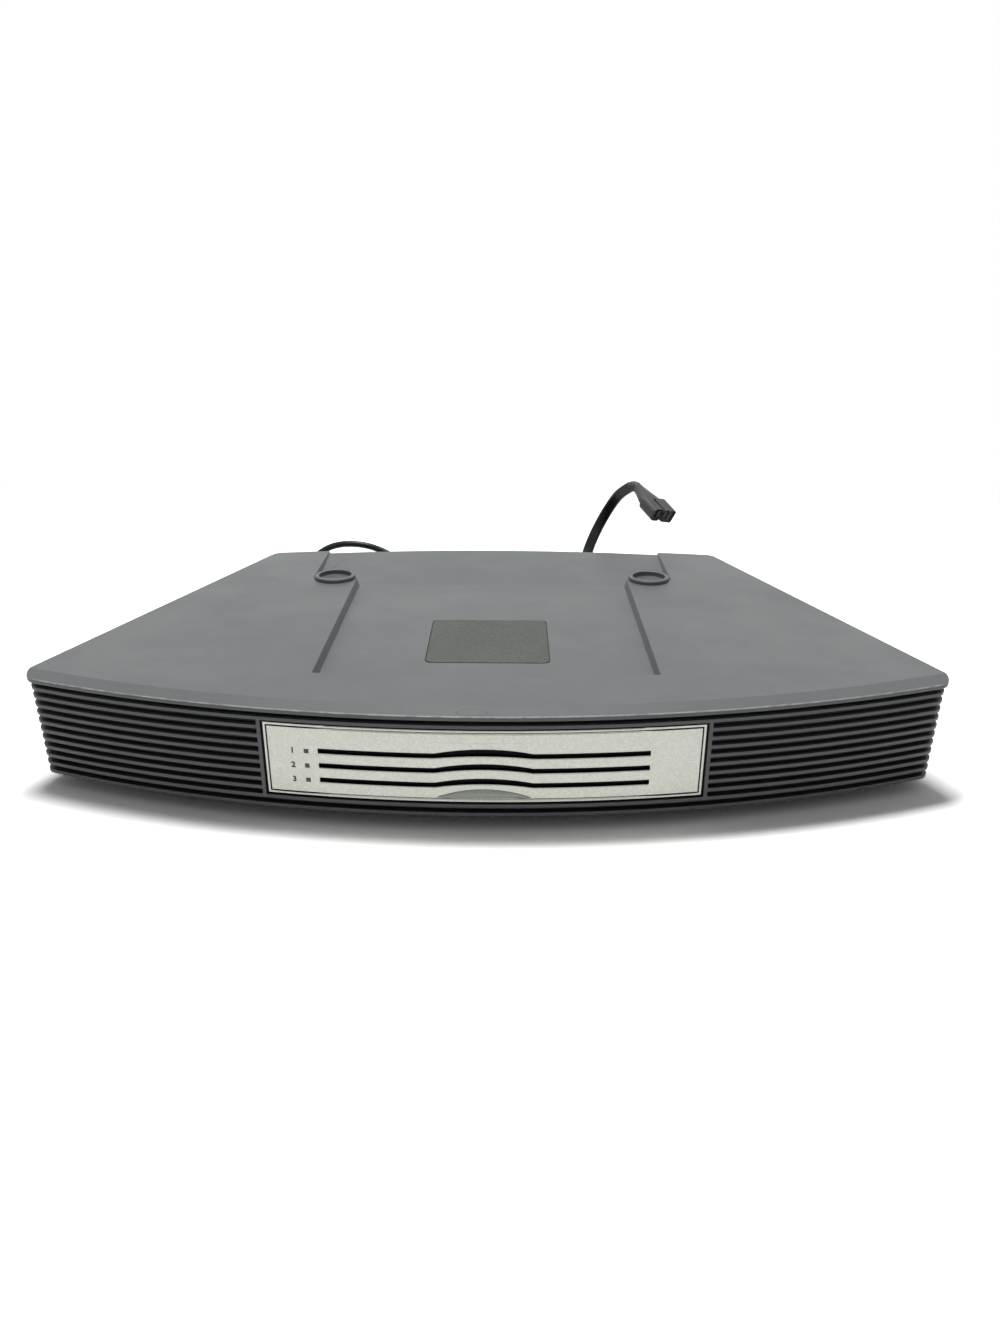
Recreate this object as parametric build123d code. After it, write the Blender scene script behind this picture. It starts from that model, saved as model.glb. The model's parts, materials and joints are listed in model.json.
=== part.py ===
from build123d import *
import math
import os

# Multi disc changer: a low, wide player that stands under another unit.
# X runs to the right, Y to the back, Z up. Everything is modelled with z 0 at the casing's
# underside and is lifted by STAND_H when it is written, so the feet stand on z 0.

os.makedirs("parts", exist_ok=True)

# ---- casing ----
WIDTH = 368.0             # over the rim of the lid
DEPTH = 227.0             # front of the rim to the back
CASE_H = 44.3             # underside to the flat top
STAND_H = 6.0             # clear height under the casing
FRONT_R = 497.5           # the front bows forward in plan
BACK_R = 712.0            # and the back bows backward a little
FRONT_CORNER_R = 8.0
BACK_CORNER_R = 6.0
BACK_CORNER_X = 117.0     # centre of the back corners
DRAFT = 2.2               # degrees that the walls lean in towards the bottom
WALL = 2.4
RIM_PROUD = 1.0           # the lid's rim stands out over the walls
RIM_LOW = 40.9
RIM_HIGH = 42.5
BAND_W = 6.5              # sloped band along the front of the lid
SEAT_GAP = 0.2            # between mouldings that slip together
FRONT_Y = -DEPTH / 2
BACK_Y = DEPTH / 2

# ---- ribbed front ----
RIB_PITCH = 3.714
GROOVE_H = 2.1
GROOVE_DEPTH = 3.2
GROOVES = 11
GROOVE_TOP_Z = 39.8       # middle of the highest groove
GRILLE_BACK = 1.6         # wall behind the grooves
GRILLE_END = 47.0         # how far back the moulding reaches round the corners
POST_IN = 84.1            # frame round the faceplate
POST_OUT = 85.7

# ---- faceplate ----
PLATE_HALF = 83.2
PLATE_LOW = 6.25
PLATE_HIGH = 36.5
PLATE_T = 2.2
PLATE_SET_BACK = 0.35
LIP_W = 0.9               # raised edge, then a fine line inside it
LINE_W = 0.55
LINE_DEEP = 0.4
SLOT_HALF = 62.5
SLOT_TOP = 26.75          # upper edge of the highest slot
SLOT_PITCH = 6.2
SLOT_H = 2.1
SLOTS = 3
ARCH_HALF = 18.6          # finger arch in the middle of each slot
ARCH_RISE = 2.0
ARCH_RISE_LOW = [1.1, 1.6, 1.6]
LENS = 1.65
LENS_X = 67.0
LENS_DROP = 0.35          # lenses sit this far under the slots' middle
INLAY_HALF = 17.75
INLAY_Z = 8.2
INLAY_RISE = 3.5
INLAY_PROUD = 0.25
WINDOW_HALF = 64.5        # opening in the ribbed front behind the slots

LENS_SEAT = 12.3          # face of the indicator board, behind the rim
BOARD_THIN = 0.8
GUIDE_FRONT = LENS_SEAT + BOARD_THIN    # the disc guide stands behind the indicator board
GUIDE_BACK = GUIDE_FRONT + 1.6

# ---- bay on top ----
BAY_Z = 40.0
BAY_FRONT = 34.8          # behind the rim, along the same bow
BAY_HALF = 68.3
BAY_HALF_BACK = 90.9
BAY_LEAN = 1.2            # the bay's walls lean out by this much
BAY_EDGE = 0.9            # step left at the back edge
RAMP_START = 172.0
CUP_X = 80.6
CUP_Y = 169.0             # behind the rim
CUP_R = 10.35
CUP_BORE_R = 8.2
CUP_PROUD = 1.9
CUP_DEEP = 2.6
PAD_W = 52.0
PAD_L = 54.0
PAD_T = 0.8
PAD_FRONT = 61.6
PAD_CORNER_R = 3.0
PAD_SEAM = 0.4

# ---- rear panel ----
PANEL_HALF = 112.0
PANEL_FROM = 200.0        # the opening for it reaches this far forward
PANEL_T = 2.0
PAD_OUT = 1.2             # flat pads on the bowed panel, under what is fixed to it
INLET_PAD_OUT = 2.0

# ---- feet, screws ----
FOOT_R = 9.0
FOOT_SEAT = 1.0
FOOT_PLACES = [(27.3, 62.0), (35.3, 196.0)]       # in from the side wall, behind the rim
SCREW_PLACES = [(10.4, 58.0), (6.5, 132.0), (20.6, 206.0)]
SCREW_R = 1.5
SCREW_HEAD_R = 3.0
SCREW_HEAD_H = 1.8
BOSS_R = 3.6
INLET_PIN_R = 1.2
VENT_W = 2.4
VENT_L = 26.0
VENT_STEP = 7.0
VENT_X = 100.0
VENT_D = 92.0
VENTS = 6

# ---- discs and the play position ----
DISC_R = 60.0
DISC_T = 1.2
PLAY_D = 77.0             # middle of the playing disc, behind the rim
STOCK_D = 154.0           # middle of a stored disc
FIT = 0.05                # running clearance of shafts and pins, on the radius

# ---- chassis ----
CHASSIS_X = 70.0          # inside of the side walls
SHEET = 1.2
CHASSIS_FRONT = 13.5
CHASSIS_BACK = 216.0
FLOOR_Z = 3.2
CHASSIS_TOP = 35.8
BRIDGE_T = 1.0
EARS = [(-76, 52), (76, 52), (-76, 198), (76, 198)]
EAR_END = 80.0

# ---- loading rollers ----
ROLLER_D = 17.0
ROLLER_R = 1.9
ROLLER_SHAFT_R = 1.0
ROLLER_HALF = 61.0
MOTOR_OFF = 2.0
GEAR_IN = 73.4
GEAR_OUT = 75.0
SMALL_TEETH = 12
SMALL_MODULE = 0.4167
BACKLASH = 0.14
PRESSURE = 25.0

# ---- elevator and lift ----
BIG_TEETH = 16
BIG_MODULE = 0.5
CAM_T = 1.0
PIN_R = 1.2
ELEVATOR_RISE = 6.2       # one slot up or down
ELEVATOR_TRAVEL = 10.8    # of its cam plates, for that rise
ELEVATOR_CAM_X = 73.2
ELEVATOR_SHAFT_D = 99.5
ELEVATOR_PIN_D = (130.0, 190.0)
ELEVATOR_PIN_Z = 17.5
LIFT_RISE = 8.8
LIFT_TRAVEL = 10.5
LIFT_CAM_X = 71.6
LIFT_SHAFT_D = 33.0
LIFT_PIN_D = (60.0, 94.0)
LIFT_PIN_Z = 14.0
SHAFT_Z = 7.2
CROSS_SHAFT_R = 1.3
SHAFT_ENTRY = 4.0         # how far a cross shaft reaches into its gear motor
STUD_R = 1.4
LIFT_STUDS = (52.0, 82.0)
LIFT_STUD_Z = 28.0
ELEVATOR_STUDS = (132.0, 186.0)
ELEVATOR_STUD_Z = 29.0

# ---- traverse ----
TRAVERSE_Z = 5.2
TRAVERSE_HALF = 66.0
TRAVERSE_DEEP = 20.0      # half of its depth
TABLE_Z = 10.0            # what the disc rests on, at rest
TABLE_R = 12.5
HUB_R = 7.4
HUB_H = 1.6
SPINDLE_R = 1.0
SLED_X = (16.0, 31.0)
ROD_R = 1.1
ROD_OFF = 17.0
ROD_Z = 7.9
LENS_R = 3.2

# ---- clamp ----
CLAMP_PIVOT_X = -66.0
CLAMP_PIVOT_Z = 25.0
CLAMP_TILT = 7.4          # degrees that the arm stands up at rest
PUCK_R = 12.0

# ---- transfer lever ----
LEVER_PIVOT = (-60.0, 177.0)
LEVER_PIN = (0.0, 216.0)
LEVER_Z = 33.6
LEVER_T = 1.0
LEVER_PIN_LOW = 12.0

# ---- boards ----
BOARD_Z = 8.0
BOARD_T = 1.6
MAIN_HOLES = [(92.0, 72.0), (142.0, 72.0), (92.0, 172.0), (118.0, 172.0)]
POWER_HOLES = [(-112.0, 72.0), (-146.0, 72.0), (-111.0, 160.0), (-122.0, 160.0)]
BOARD_HOLES = MAIN_HOLES + POWER_HOLES

# ---- leads ----
LINK_X = 54.0
LINK_Z = 24.0
LINK_R = 2.1
SIGNAL_X = -52.0
SIGNAL_Z = 22.0
SIGNAL_R = 1.9
SIGNAL_PLUG_R = 5.0
PLUG_W = 17.2             # the flat lead's plug
PLUG_H = 7.8
PLUG_L = 27.0
PLUG_TAIL_R = 2.9
PLUG_BEND_R = 7.5
PIN_PITCH = 8.6
PLUG_DIRECTION = (0.44, -0.80, -0.40)
PLUG_ACROSS = (0.83, 0.49, -0.25)
INLET_X = 86.0
INLET_Z = 20.0


# ---- helpers ----
def lean(z):
    """How far the walls have leaned in at height z."""
    return RIM_PROUD + (RIM_LOW - z) * math.tan(math.radians(DRAFT))


def back(d):
    """Y of a place that lies d behind the front of the rim."""
    return FRONT_Y + d


def side_x(d):
    """Half width of the lid along its straight sides."""
    front_x, back_x = WIDTH / 2, BACK_CORNER_X + BACK_CORNER_R
    return front_x + (back_x - front_x) * d / DEPTH


def in_from_sides(places):
    return [(side * (side_x(d) - off), d) for off, d in places for side in (-1, 1)]


def box(x0, x1, y0, y1, z0, z1):
    return Pos((x0 + x1) / 2, (y0 + y1) / 2, (z0 + z1) / 2) * Box(x1 - x0, y1 - y0, z1 - z0)


def post(r, x, y, z0, z1):
    return Pos(x, y, (z0 + z1) / 2) * Cylinder(r, z1 - z0)


def bar_x(r, x0, x1, y, z):
    return Pos((x0 + x1) / 2, y, z) * Rot(0, 90, 0) * Cylinder(r, x1 - x0)


def bar_y(r, y0, y1, x, z):
    return Pos(x, (y0 + y1) / 2, z) * Rot(90, 0, 0) * Cylinder(r, y1 - y0)


def slot_y(width, y0, y1, x0, x1, z):
    """A round-ended cutter that runs along Y and goes through from x0 to x1."""
    r = width / 2
    return box(x0, x1, y0, y1, z - r, z + r) + bar_x(r, x0, x1, y0, z) + bar_x(r, x0, x1, y1, z)


def ramp(width, x0, x1, start, end):
    """A round-ended cutter between two (y, z) places, through from x0 to x1."""
    (ya, za), (yb, zb) = start, end
    length = math.hypot(yb - ya, zb - za)
    tilt = math.degrees(math.atan2(zb - za, yb - ya))
    middle = Pos((x0 + x1) / 2, (ya + yb) / 2, (za + zb) / 2) * Rot(tilt, 0, 0)
    run = middle * Box(x1 - x0, length, width)
    return run + bar_x(width / 2, x0, x1, ya, za) + bar_x(width / 2, x0, x1, yb, zb)


def outline(inset=0.0):
    """Plan of the casing: bowed front, round corners, straight sides, bowed back."""
    front_c = Vector(0, FRONT_Y + FRONT_R)
    back_c = Vector(0, BACK_Y - BACK_R)
    x1 = WIDTH / 2 - FRONT_CORNER_R
    c1 = Vector(x1, front_c.Y - math.sqrt((FRONT_R - FRONT_CORNER_R) ** 2 - x1 ** 2))
    c2 = Vector(BACK_CORNER_X,
                back_c.Y + math.sqrt((BACK_R - BACK_CORNER_R) ** 2 - BACK_CORNER_X ** 2))
    r1, r2 = FRONT_CORNER_R - inset, BACK_CORNER_R - inset
    along = (c2 - c1).normalized()
    out = Vector(along.Y, -along.X)
    s = (r1 - r2) / (c2 - c1).length
    normal = along * s + out * math.sqrt(1 - s * s)
    to_front = (c1 - front_c).normalized()
    to_back = (c2 - back_c).normalized()
    a = c1 + to_front * r1
    b = c1 + normal * r1
    c = c2 + normal * r2
    d = c2 + to_back * r2
    mid1 = c1 + (to_front + normal).normalized() * r1
    mid2 = c2 + (to_back + normal).normalized() * r2

    def left(p):
        return Vector(-p.X, p.Y)

    edges = [
        ThreePointArc(left(a), (0, FRONT_Y + inset), a), ThreePointArc(a, mid1, b), Line(b, c),
        ThreePointArc(c, mid2, d), ThreePointArc(d, (0, BACK_Y - inset), left(d)),
        ThreePointArc(left(d), left(mid2), left(c)), Line(left(c), left(b)),
        ThreePointArc(left(b), left(mid1), left(a)),
    ]
    return Face(Wire(edges))


def body(inset, low, high):
    """The leaning body of the casing between two heights, drawn in by inset."""
    return loft([Pos(0, 0, z) * outline(inset + lean(z)) for z in (low, high)], ruled=True)


def set_back(depth, low, high):
    """The same body moved straight back, which is how the front's features are sunk."""
    return Pos(0, depth, 0) * body(0, low, high)


def front_skin(near, far, low, high):
    """The layer of the front between two depths."""
    return set_back(near, low, high) - set_back(far, low - 1, high + 1)


def gear(teeth, module, phase=0.0):
    """Face of a spur gear in the XY plane, with a tooth at the angle phase (degrees)."""
    pressure = math.radians(PRESSURE)
    pitch_r = module * teeth / 2
    base_r = pitch_r * math.cos(pressure)
    tip_r = pitch_r + 0.85 * module
    root_r = pitch_r - 1.15 * module
    half = (math.pi * module / 2 - BACKLASH) / 2 / pitch_r
    inv = math.tan(pressure) - pressure

    def half_at(r):
        a = math.acos(min(1.0, base_r / r))
        return half + inv - (math.tan(a) - a)

    flank = [(root_r, half_at(base_r)), (base_r, half_at(base_r)), (pitch_r, half_at(pitch_r)),
             (tip_r, half_at(tip_r))]
    points = []
    for tooth in range(teeth):
        middle = math.radians(phase) + 2 * math.pi * tooth / teeth
        turn = [(r, middle - h) for r, h in flank] + [(r, middle + h) for r, h in reversed(flank)]
        points += [(r * math.cos(a), r * math.sin(a)) for r, a in turn]
    return Face(Wire.make_polygon(points, close=True))


def gear_x(teeth, module, x0, x1, y, z, phase=0.0):
    """A spur gear on an axis along X. The phase is counted from +Y towards +Z."""
    face = Plane(origin=(x0, y, z), x_dir=(0, 1, 0), z_dir=(1, 0, 0)) * gear(teeth, module, phase)
    return extrude(face, amount=x1 - x0, dir=(1, 0, 0))


def rack(x0, x1, y0, y1, y_gap, z, bar):
    """A rack along Y with its teeth down, its pitch line at z and a gap at y_gap."""
    m = BIG_MODULE
    half = (math.pi * m / 2 - BACKLASH) / 2
    slope = math.tan(math.radians(PRESSURE))
    low, high = z - 0.85 * m, z + 1.15 * m
    solid = box(x0, x1, y0, y1, high, high + bar)
    first = math.ceil((y0 - y_gap) / (math.pi * m))
    last = math.floor((y1 - y_gap) / (math.pi * m)) - 1
    for k in range(first, last + 1):
        y = y_gap + (k + 0.5) * math.pi * m
        wide = half + 1.15 * m * slope
        thin = half - 0.85 * m * slope
        tooth = Wire.make_polygon([(x0, y - wide, high + 0.1), (x0, y - thin, low),
                                   (x0, y + thin, low), (x0, y + wide, high + 0.1)], close=True)
        solid += extrude(Face(tooth), amount=x1 - x0, dir=(1, 0, 0))
    return solid


FEET = in_from_sides(FOOT_PLACES)
SCREWS = in_from_sides(SCREW_PLACES)
written = []


def write(name, *pieces, lifted=True):
    """Lift a node's pieces onto the feet's height and write them as one STEP file."""
    up = STAND_H if lifted else 0.0
    solids = [Pos(0, 0, up) * solid for piece in pieces for solid in piece.solids()]
    export_step(solids[0] if len(solids) == 1 else Compound(solids), f"parts/{name}.step")
    written.append(name)


# ---- lid with its bay ----
def groove_z(k):
    return GROOVE_TOP_Z - k * RIB_PITCH


def bay_cutter(grow, floor_z):
    """What is taken out of the lid's block for the bay; grow widens it."""
    high = CASE_H + CUP_PROUD + 3
    slope = BAY_LEAN / (CASE_H - BAY_Z)

    def trough(half, y0, y1):
        low_half = half + grow - (BAY_Z - floor_z) * slope
        high_half = half + grow + (high - BAY_Z) * slope
        wire = Wire.make_polygon([(-low_half, y0, floor_z), (low_half, y0, floor_z),
                                  (high_half, y0, high), (-high_half, y0, high)], close=True)
        return extrude(Face(wire), amount=y1 - y0, dir=(0, 1, 0))

    low_r = FRONT_R - BAY_FRONT + grow - (BAY_Z - floor_z) * slope
    high_r = FRONT_R - BAY_FRONT + grow + (high - BAY_Z) * slope
    bow = Pos(0, FRONT_Y + FRONT_R, (floor_z + high) / 2) * Cone(low_r, high_r, high - floor_z)
    narrow = trough(BAY_HALF, back(0), back(CUP_Y)) & bow
    return narrow + trough(BAY_HALF_BACK, back(CUP_Y), BACK_Y + 9)


def ramp_block(drop):
    """The floor behind the cups climbs to the back edge; drop sets it lower."""
    climb = CASE_H - BAY_EDGE - BAY_Z
    y0, y1 = back(RAMP_START), BACK_Y
    run = y1 - y0
    end = y1 + 9
    wire = Wire.make_polygon([
        (-WIDTH, y0, BAY_Z - drop), (-WIDTH, end, BAY_Z + climb * (end - y0) / run - drop),
        (-WIDTH, end, BAY_Z - 9), (-WIDTH, y0, BAY_Z - 9)], close=True)
    return extrude(Face(wire), amount=2 * WIDTH, dir=(1, 0, 0))


def make_top_cover():
    block = extrude(Pos(0, 0, RIM_LOW) * outline(), amount=CASE_H - RIM_LOW)
    front_c = Vector(0, FRONT_Y + FRONT_R)
    profile = Wire.make_polygon([
        (0, front_c.Y - FRONT_R - 1, RIM_HIGH - 0.28), (0, front_c.Y - FRONT_R - 1, CASE_H + 1),
        (0, front_c.Y - FRONT_R + BAND_W, CASE_H + 1), (0, front_c.Y - FRONT_R + BAND_W, CASE_H),
        (0, front_c.Y - FRONT_R, RIM_HIGH)], close=True)
    band = revolve(Face(profile), axis=Axis(front_c, (0, 0, 1)),
                   revolution_arc=360)
    block -= band
    under_z = CASE_H - WALL
    hollow = extrude(Pos(0, 0, RIM_LOW - 1) * outline(RIM_PROUD + WALL), amount=under_z - RIM_LOW + 1)
    pan = bay_cutter(WALL - 0.4, BAY_Z - WALL) & extrude(
        Pos(0, 0, BAY_Z - WALL) * outline(RIM_PROUD + WALL + 1.6), amount=CASE_H - BAY_Z)
    lip = extrude(Pos(0, 0, RIM_LOW - 3) * outline(RIM_PROUD + WALL + 0.3), amount=3.2)
    lip -= extrude(Pos(0, 0, RIM_LOW - 4) * outline(RIM_PROUD + WALL + 1.9), amount=6)
    lip &= box(-WIDTH, WIDTH, back(GRILLE_END + 4), BACK_Y + 1, 0, CASE_H)
    solid = (block - hollow) + pan + lip
    cut = bay_cutter(0, BAY_Z) - ramp_block(0)
    solid -= cut
    for side in (-1, 1):
        solid -= post(CUP_R + FIT, side * CUP_X, back(CUP_Y), BAY_Z - WALL - 1, CASE_H + 3)
    pad = extrude(Pos(0, back(PAD_FRONT + PAD_L / 2), BAY_Z - PAD_T) * RectangleRounded(
        PAD_W + 2 * PAD_SEAM, PAD_L + 2 * PAD_SEAM, PAD_CORNER_R), amount=PAD_T + 1)
    solid -= pad
    for x, d in SCREWS:
        solid += post(BOSS_R, x, back(d), WALL + 8, under_z + 0.5)
        solid -= post(SCREW_R - 0.2, x, back(d), WALL + 7, WALL + 24)
    return solid


def make_foot_cup(side):
    """A short turned cup that takes a foot of the unit above."""
    x, y = side * CUP_X, back(CUP_Y)
    top = CASE_H + CUP_PROUD
    solid = post(CUP_R, x, y, BAY_Z - WALL, top)
    rim = solid.edges().filter_by(GeomType.CIRCLE).sort_by(Axis.Z)[-1]
    solid = chamfer(rim, 0.4)
    solid -= post(CUP_BORE_R, x, y, top - CUP_DEEP, top + 1)
    solid -= post(CUP_R - 1.6, x, y, BAY_Z - WALL - 1, top - CUP_DEEP - 1.6)
    return solid


def make_top_pad():
    sheet = Pos(0, back(PAD_FRONT + PAD_L / 2), BAY_Z - PAD_T) * RectangleRounded(
        PAD_W, PAD_L, PAD_CORNER_R)
    return extrude(sheet, amount=PAD_T)


# ---- ribbed front ----
def make_front_grille():
    inner = body(WALL, -1, RIM_LOW + 1) & set_back(GROOVE_DEPTH + GRILLE_BACK, -1, RIM_LOW + 1)
    solid = body(0, 0, RIM_LOW) - inner
    solid &= box(-WIDTH, WIDTH, FRONT_Y - 1, back(GRILLE_END), -1, CASE_H)
    behind = set_back(GROOVE_DEPTH, -1, RIM_LOW + 1)
    for k in range(GROOVES):
        low, high = groove_z(k) - GROOVE_H / 2, groove_z(k) + GROOVE_H / 2
        high = RIM_LOW + 1 if k == 0 else high
        gap = box(-WIDTH, WIDTH, FRONT_Y - 1, back(GRILLE_END - 1), low, high)
        if 0 < k < GROOVES - 1:
            gap -= box(-POST_OUT, POST_OUT, FRONT_Y - 2, BACK_Y, low - 1, high + 1)
        solid -= gap - behind
    low = groove_z(GROOVES - 2) - GROOVE_H / 2
    high = groove_z(1) + GROOVE_H / 2
    seat = PLATE_SET_BACK + PLATE_T
    solid -= box(-POST_IN, POST_IN, FRONT_Y - 1, 0, low, high) - set_back(seat, -1, RIM_LOW + 1)
    solid -= box(-WINDOW_HALF, WINDOW_HALF, FRONT_Y - 1, 0, window_low(), window_high())
    for k in range(SLOTS):
        z = lens_z(k)
        solid -= box(-LENS_X - LENS / 2 - FIT, -LENS_X + LENS / 2 + FIT, FRONT_Y - 1, 0,
                     z - LENS / 2 - FIT, z + LENS / 2 + FIT)
    return solid


def slot_low(k):
    return SLOT_TOP - k * SLOT_PITCH - SLOT_H


def disc_z(k):
    """Middle of the disc that goes through slot k."""
    return slot_low(k) + SLOT_H / 2


def lens_z(k):
    return disc_z(k) - LENS_DROP


def window_low():
    return slot_low(SLOTS - 1) - 1.6


def window_high():
    return SLOT_TOP + ARCH_RISE + 0.8


def slot_face(k, y):
    """Outline of one disc slot, with the finger arch in its middle."""
    low, high = slot_low(k), slot_low(k) + SLOT_H
    rise = ARCH_RISE_LOW[k]
    edges = [
        Line((-SLOT_HALF, y, low), (-ARCH_HALF, y, low)),
        ThreePointArc((-ARCH_HALF, y, low), (0, y, low + rise), (ARCH_HALF, y, low)),
        Line((ARCH_HALF, y, low), (SLOT_HALF, y, low)),
        Line((SLOT_HALF, y, low), (SLOT_HALF, y, high)),
        Line((SLOT_HALF, y, high), (ARCH_HALF, y, high)),
        ThreePointArc((ARCH_HALF, y, high), (0, y, high + ARCH_RISE), (-ARCH_HALF, y, high)),
        Line((-ARCH_HALF, y, high), (-SLOT_HALF, y, high)),
        Line((-SLOT_HALF, y, high), (-SLOT_HALF, y, low)),
    ]
    return Face(Wire(edges))


def inlay_face(y, grow=0.0):
    low = INLAY_Z - grow
    half = INLAY_HALF + 3 * grow
    edges = [ThreePointArc((-half, y, low), (0, y, INLAY_Z + INLAY_RISE + grow), (half, y, low)),
             Line((half, y, low), (-half, y, low))]
    return Face(Wire(edges))


def make_faceplate():
    near, far = PLATE_SET_BACK, PLATE_SET_BACK + PLATE_T
    solid = front_skin(near, far, PLATE_LOW, PLATE_HIGH)
    solid &= box(-PLATE_HALF, PLATE_HALF, FRONT_Y - 1, 0, PLATE_LOW, PLATE_HIGH)
    inside = box(-PLATE_HALF + LIP_W, PLATE_HALF - LIP_W, FRONT_Y - 1, 0,
                 PLATE_LOW + LIP_W, PLATE_HIGH - LIP_W)
    edge = LIP_W + LINE_W
    line = inside - box(-PLATE_HALF + edge, PLATE_HALF - edge, FRONT_Y - 2, 1,
                        PLATE_LOW + edge, PLATE_HIGH - edge)
    solid -= line - set_back(near + LINE_DEEP, 0, RIM_LOW)
    for k in range(SLOTS):
        solid -= extrude(slot_face(k, FRONT_Y - 1), amount=20, dir=(0, 1, 0))
        z = lens_z(k)
        solid -= box(-LENS_X - LENS / 2 - FIT, -LENS_X + LENS / 2 + FIT, FRONT_Y - 1, 0,
                     z - LENS / 2 - FIT, z + LENS / 2 + FIT)
    pocket = extrude(inlay_face(FRONT_Y - 1, FIT), amount=20, dir=(0, 1, 0))
    solid -= pocket - set_back(near + 1.0, 0, RIM_LOW)
    return solid


def make_crescent_inlay():
    prism = extrude(inlay_face(FRONT_Y - 1), amount=20, dir=(0, 1, 0))
    return prism & front_skin(PLATE_SET_BACK - INLAY_PROUD, PLATE_SET_BACK + 1.0, 2, PLATE_HIGH)


def make_indicator_lenses():
    board_y = back(LENS_SEAT)
    lenses = Part()
    for k in range(SLOTS):
        z = lens_z(k)
        pipe = box(-LENS_X - LENS / 2, -LENS_X + LENS / 2, FRONT_Y - 1, board_y,
                   z - LENS / 2, z + LENS / 2)
        lenses += pipe & set_back(PLATE_SET_BACK, 2, RIM_LOW)
    return lenses


def make_slot_felts():
    """Felt lips behind each slot that keep dust out and part round a disc."""
    near = PLATE_SET_BACK + PLATE_T
    layer = front_skin(near, near + 0.5, window_low() - 1, window_high() + 1)
    felts = Part()
    for k in range(SLOTS):
        z = disc_z(k)
        for low, high in ((z - 1.9, z - 0.1), (z + 0.1, z + (3.6 if k == 0 else 2.1))):
            felts += layer & box(-WINDOW_HALF + 0.5, WINDOW_HALF - 0.5, FRONT_Y, 0, low, high)
    return felts


def make_disc_guide():
    """Black inner moulding with a straight throat for each disc."""
    half = CHASSIS_X - SEAT_GAP
    low, high = disc_z(SLOTS - 1) - 5.5, window_high() + 1
    solid = box(-half, half, back(GUIDE_FRONT), back(GUIDE_BACK), low, high)
    for k in range(SLOTS):
        z = disc_z(k)
        solid -= box(-WINDOW_HALF, WINDOW_HALF, back(0), back(30), z - 1.1, z + 1.1)
        solid += box(-WINDOW_HALF + 1, WINDOW_HALF - 1, back(GUIDE_BACK - 0.5), back(ROLLER_D + 2),
                     z + 0.9, z + 1.5)
    for side in (-1, 1):
        x0, x1 = sorted((side * (half - 1.5), side * half))
        solid += box(x0, x1, back(GUIDE_BACK - 0.5), back(ROLLER_D - 1.6), low, high)
    return solid


# ---- tray, rear panel, feet ----
def tray_front(gap):
    """Room inside the ribbed front that the tray's floor fills."""
    return body(WALL + gap, -1, RIM_LOW + 1) & set_back(
        GROOVE_DEPTH + GRILLE_BACK + gap, -1, RIM_LOW + 1)


def make_base_tray():
    seam = back(GRILLE_END + SEAT_GAP)
    rear = box(-WIDTH, WIDTH, seam, BACK_Y + 1, -1, CASE_H)
    front = box(-WIDTH, WIDTH, FRONT_Y - 1, seam, -1, WALL)
    shell = (body(0, 0, RIM_LOW) - body(WALL, WALL, RIM_LOW + 1)) & rear
    floor = (tray_front(SEAT_GAP) & front) & body(0, 0, WALL)
    solid = shell + floor
    solid -= box(-PANEL_HALF, PANEL_HALF, back(PANEL_FROM), BACK_Y + 1, WALL, CASE_H)
    for x, d in FEET:
        solid -= post(FOOT_R + FIT, x, back(d), -1, FOOT_SEAT)
    for x, d in SCREWS:
        solid += post(BOSS_R, x, back(d), WALL - 0.5, WALL + 8)
        solid -= post(SCREW_HEAD_R + 0.2, x, back(d), -1, SCREW_HEAD_H + 0.3)
        solid -= post(SCREW_R + 0.1, x, back(d), 0, WALL + 9)
    for x, d in EARS:
        solid += post(3.0, x, back(d), WALL - 0.5, FLOOR_Z)
    for x, d in BOARD_HOLES:
        solid += post(2.6, x, back(d), WALL - 0.5, BOARD_Z)
    for side in (-1, 1):
        for n in range(VENTS):
            x = side * (VENT_X + VENT_STEP * n)
            solid -= box(x - VENT_W / 2, x + VENT_W / 2, back(VENT_D), back(VENT_D + VENT_L),
                         -1, WALL + 1)
    return solid


def make_rear_panel():
    solid = (body(0, WALL, RIM_LOW) - body(PANEL_T, WALL - 1, RIM_LOW + 1)) & box(
        -PANEL_HALF + 0.1, PANEL_HALF - 0.1, back(PANEL_FROM), BACK_Y + 1, WALL, RIM_LOW - 0.1)
    for x, z in ((LINK_X, LINK_Z), (SIGNAL_X, SIGNAL_Z)):
        solid += bar_y(7.0, back_face(x) - PANEL_T - 0.4, back_face(x) + PAD_OUT, x, z)
        solid -= bar_y(4.0, back(PANEL_FROM), BACK_Y + 5, x, z)
    y = back_face(INLET_X)
    solid += box(INLET_X - 14.5, INLET_X + 14.5, y - PANEL_T - 0.4, y + INLET_PAD_OUT,
                 INLET_Z - 10.5, INLET_Z + 10.5)
    solid -= box(INLET_X - 11.05, INLET_X + 11.05, back(PANEL_FROM), BACK_Y + 5,
                 INLET_Z - 7.05, INLET_Z + 7.05)
    return solid


def make_rubber_feet():
    feet = Part()
    for x, d in FEET:
        foot = post(FOOT_R, x, back(d), -STAND_H, FOOT_SEAT)
        low = foot.edges().filter_by(GeomType.CIRCLE).sort_by(Axis.Z)[0]
        feet += chamfer(low, 1.2)
    return feet


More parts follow.
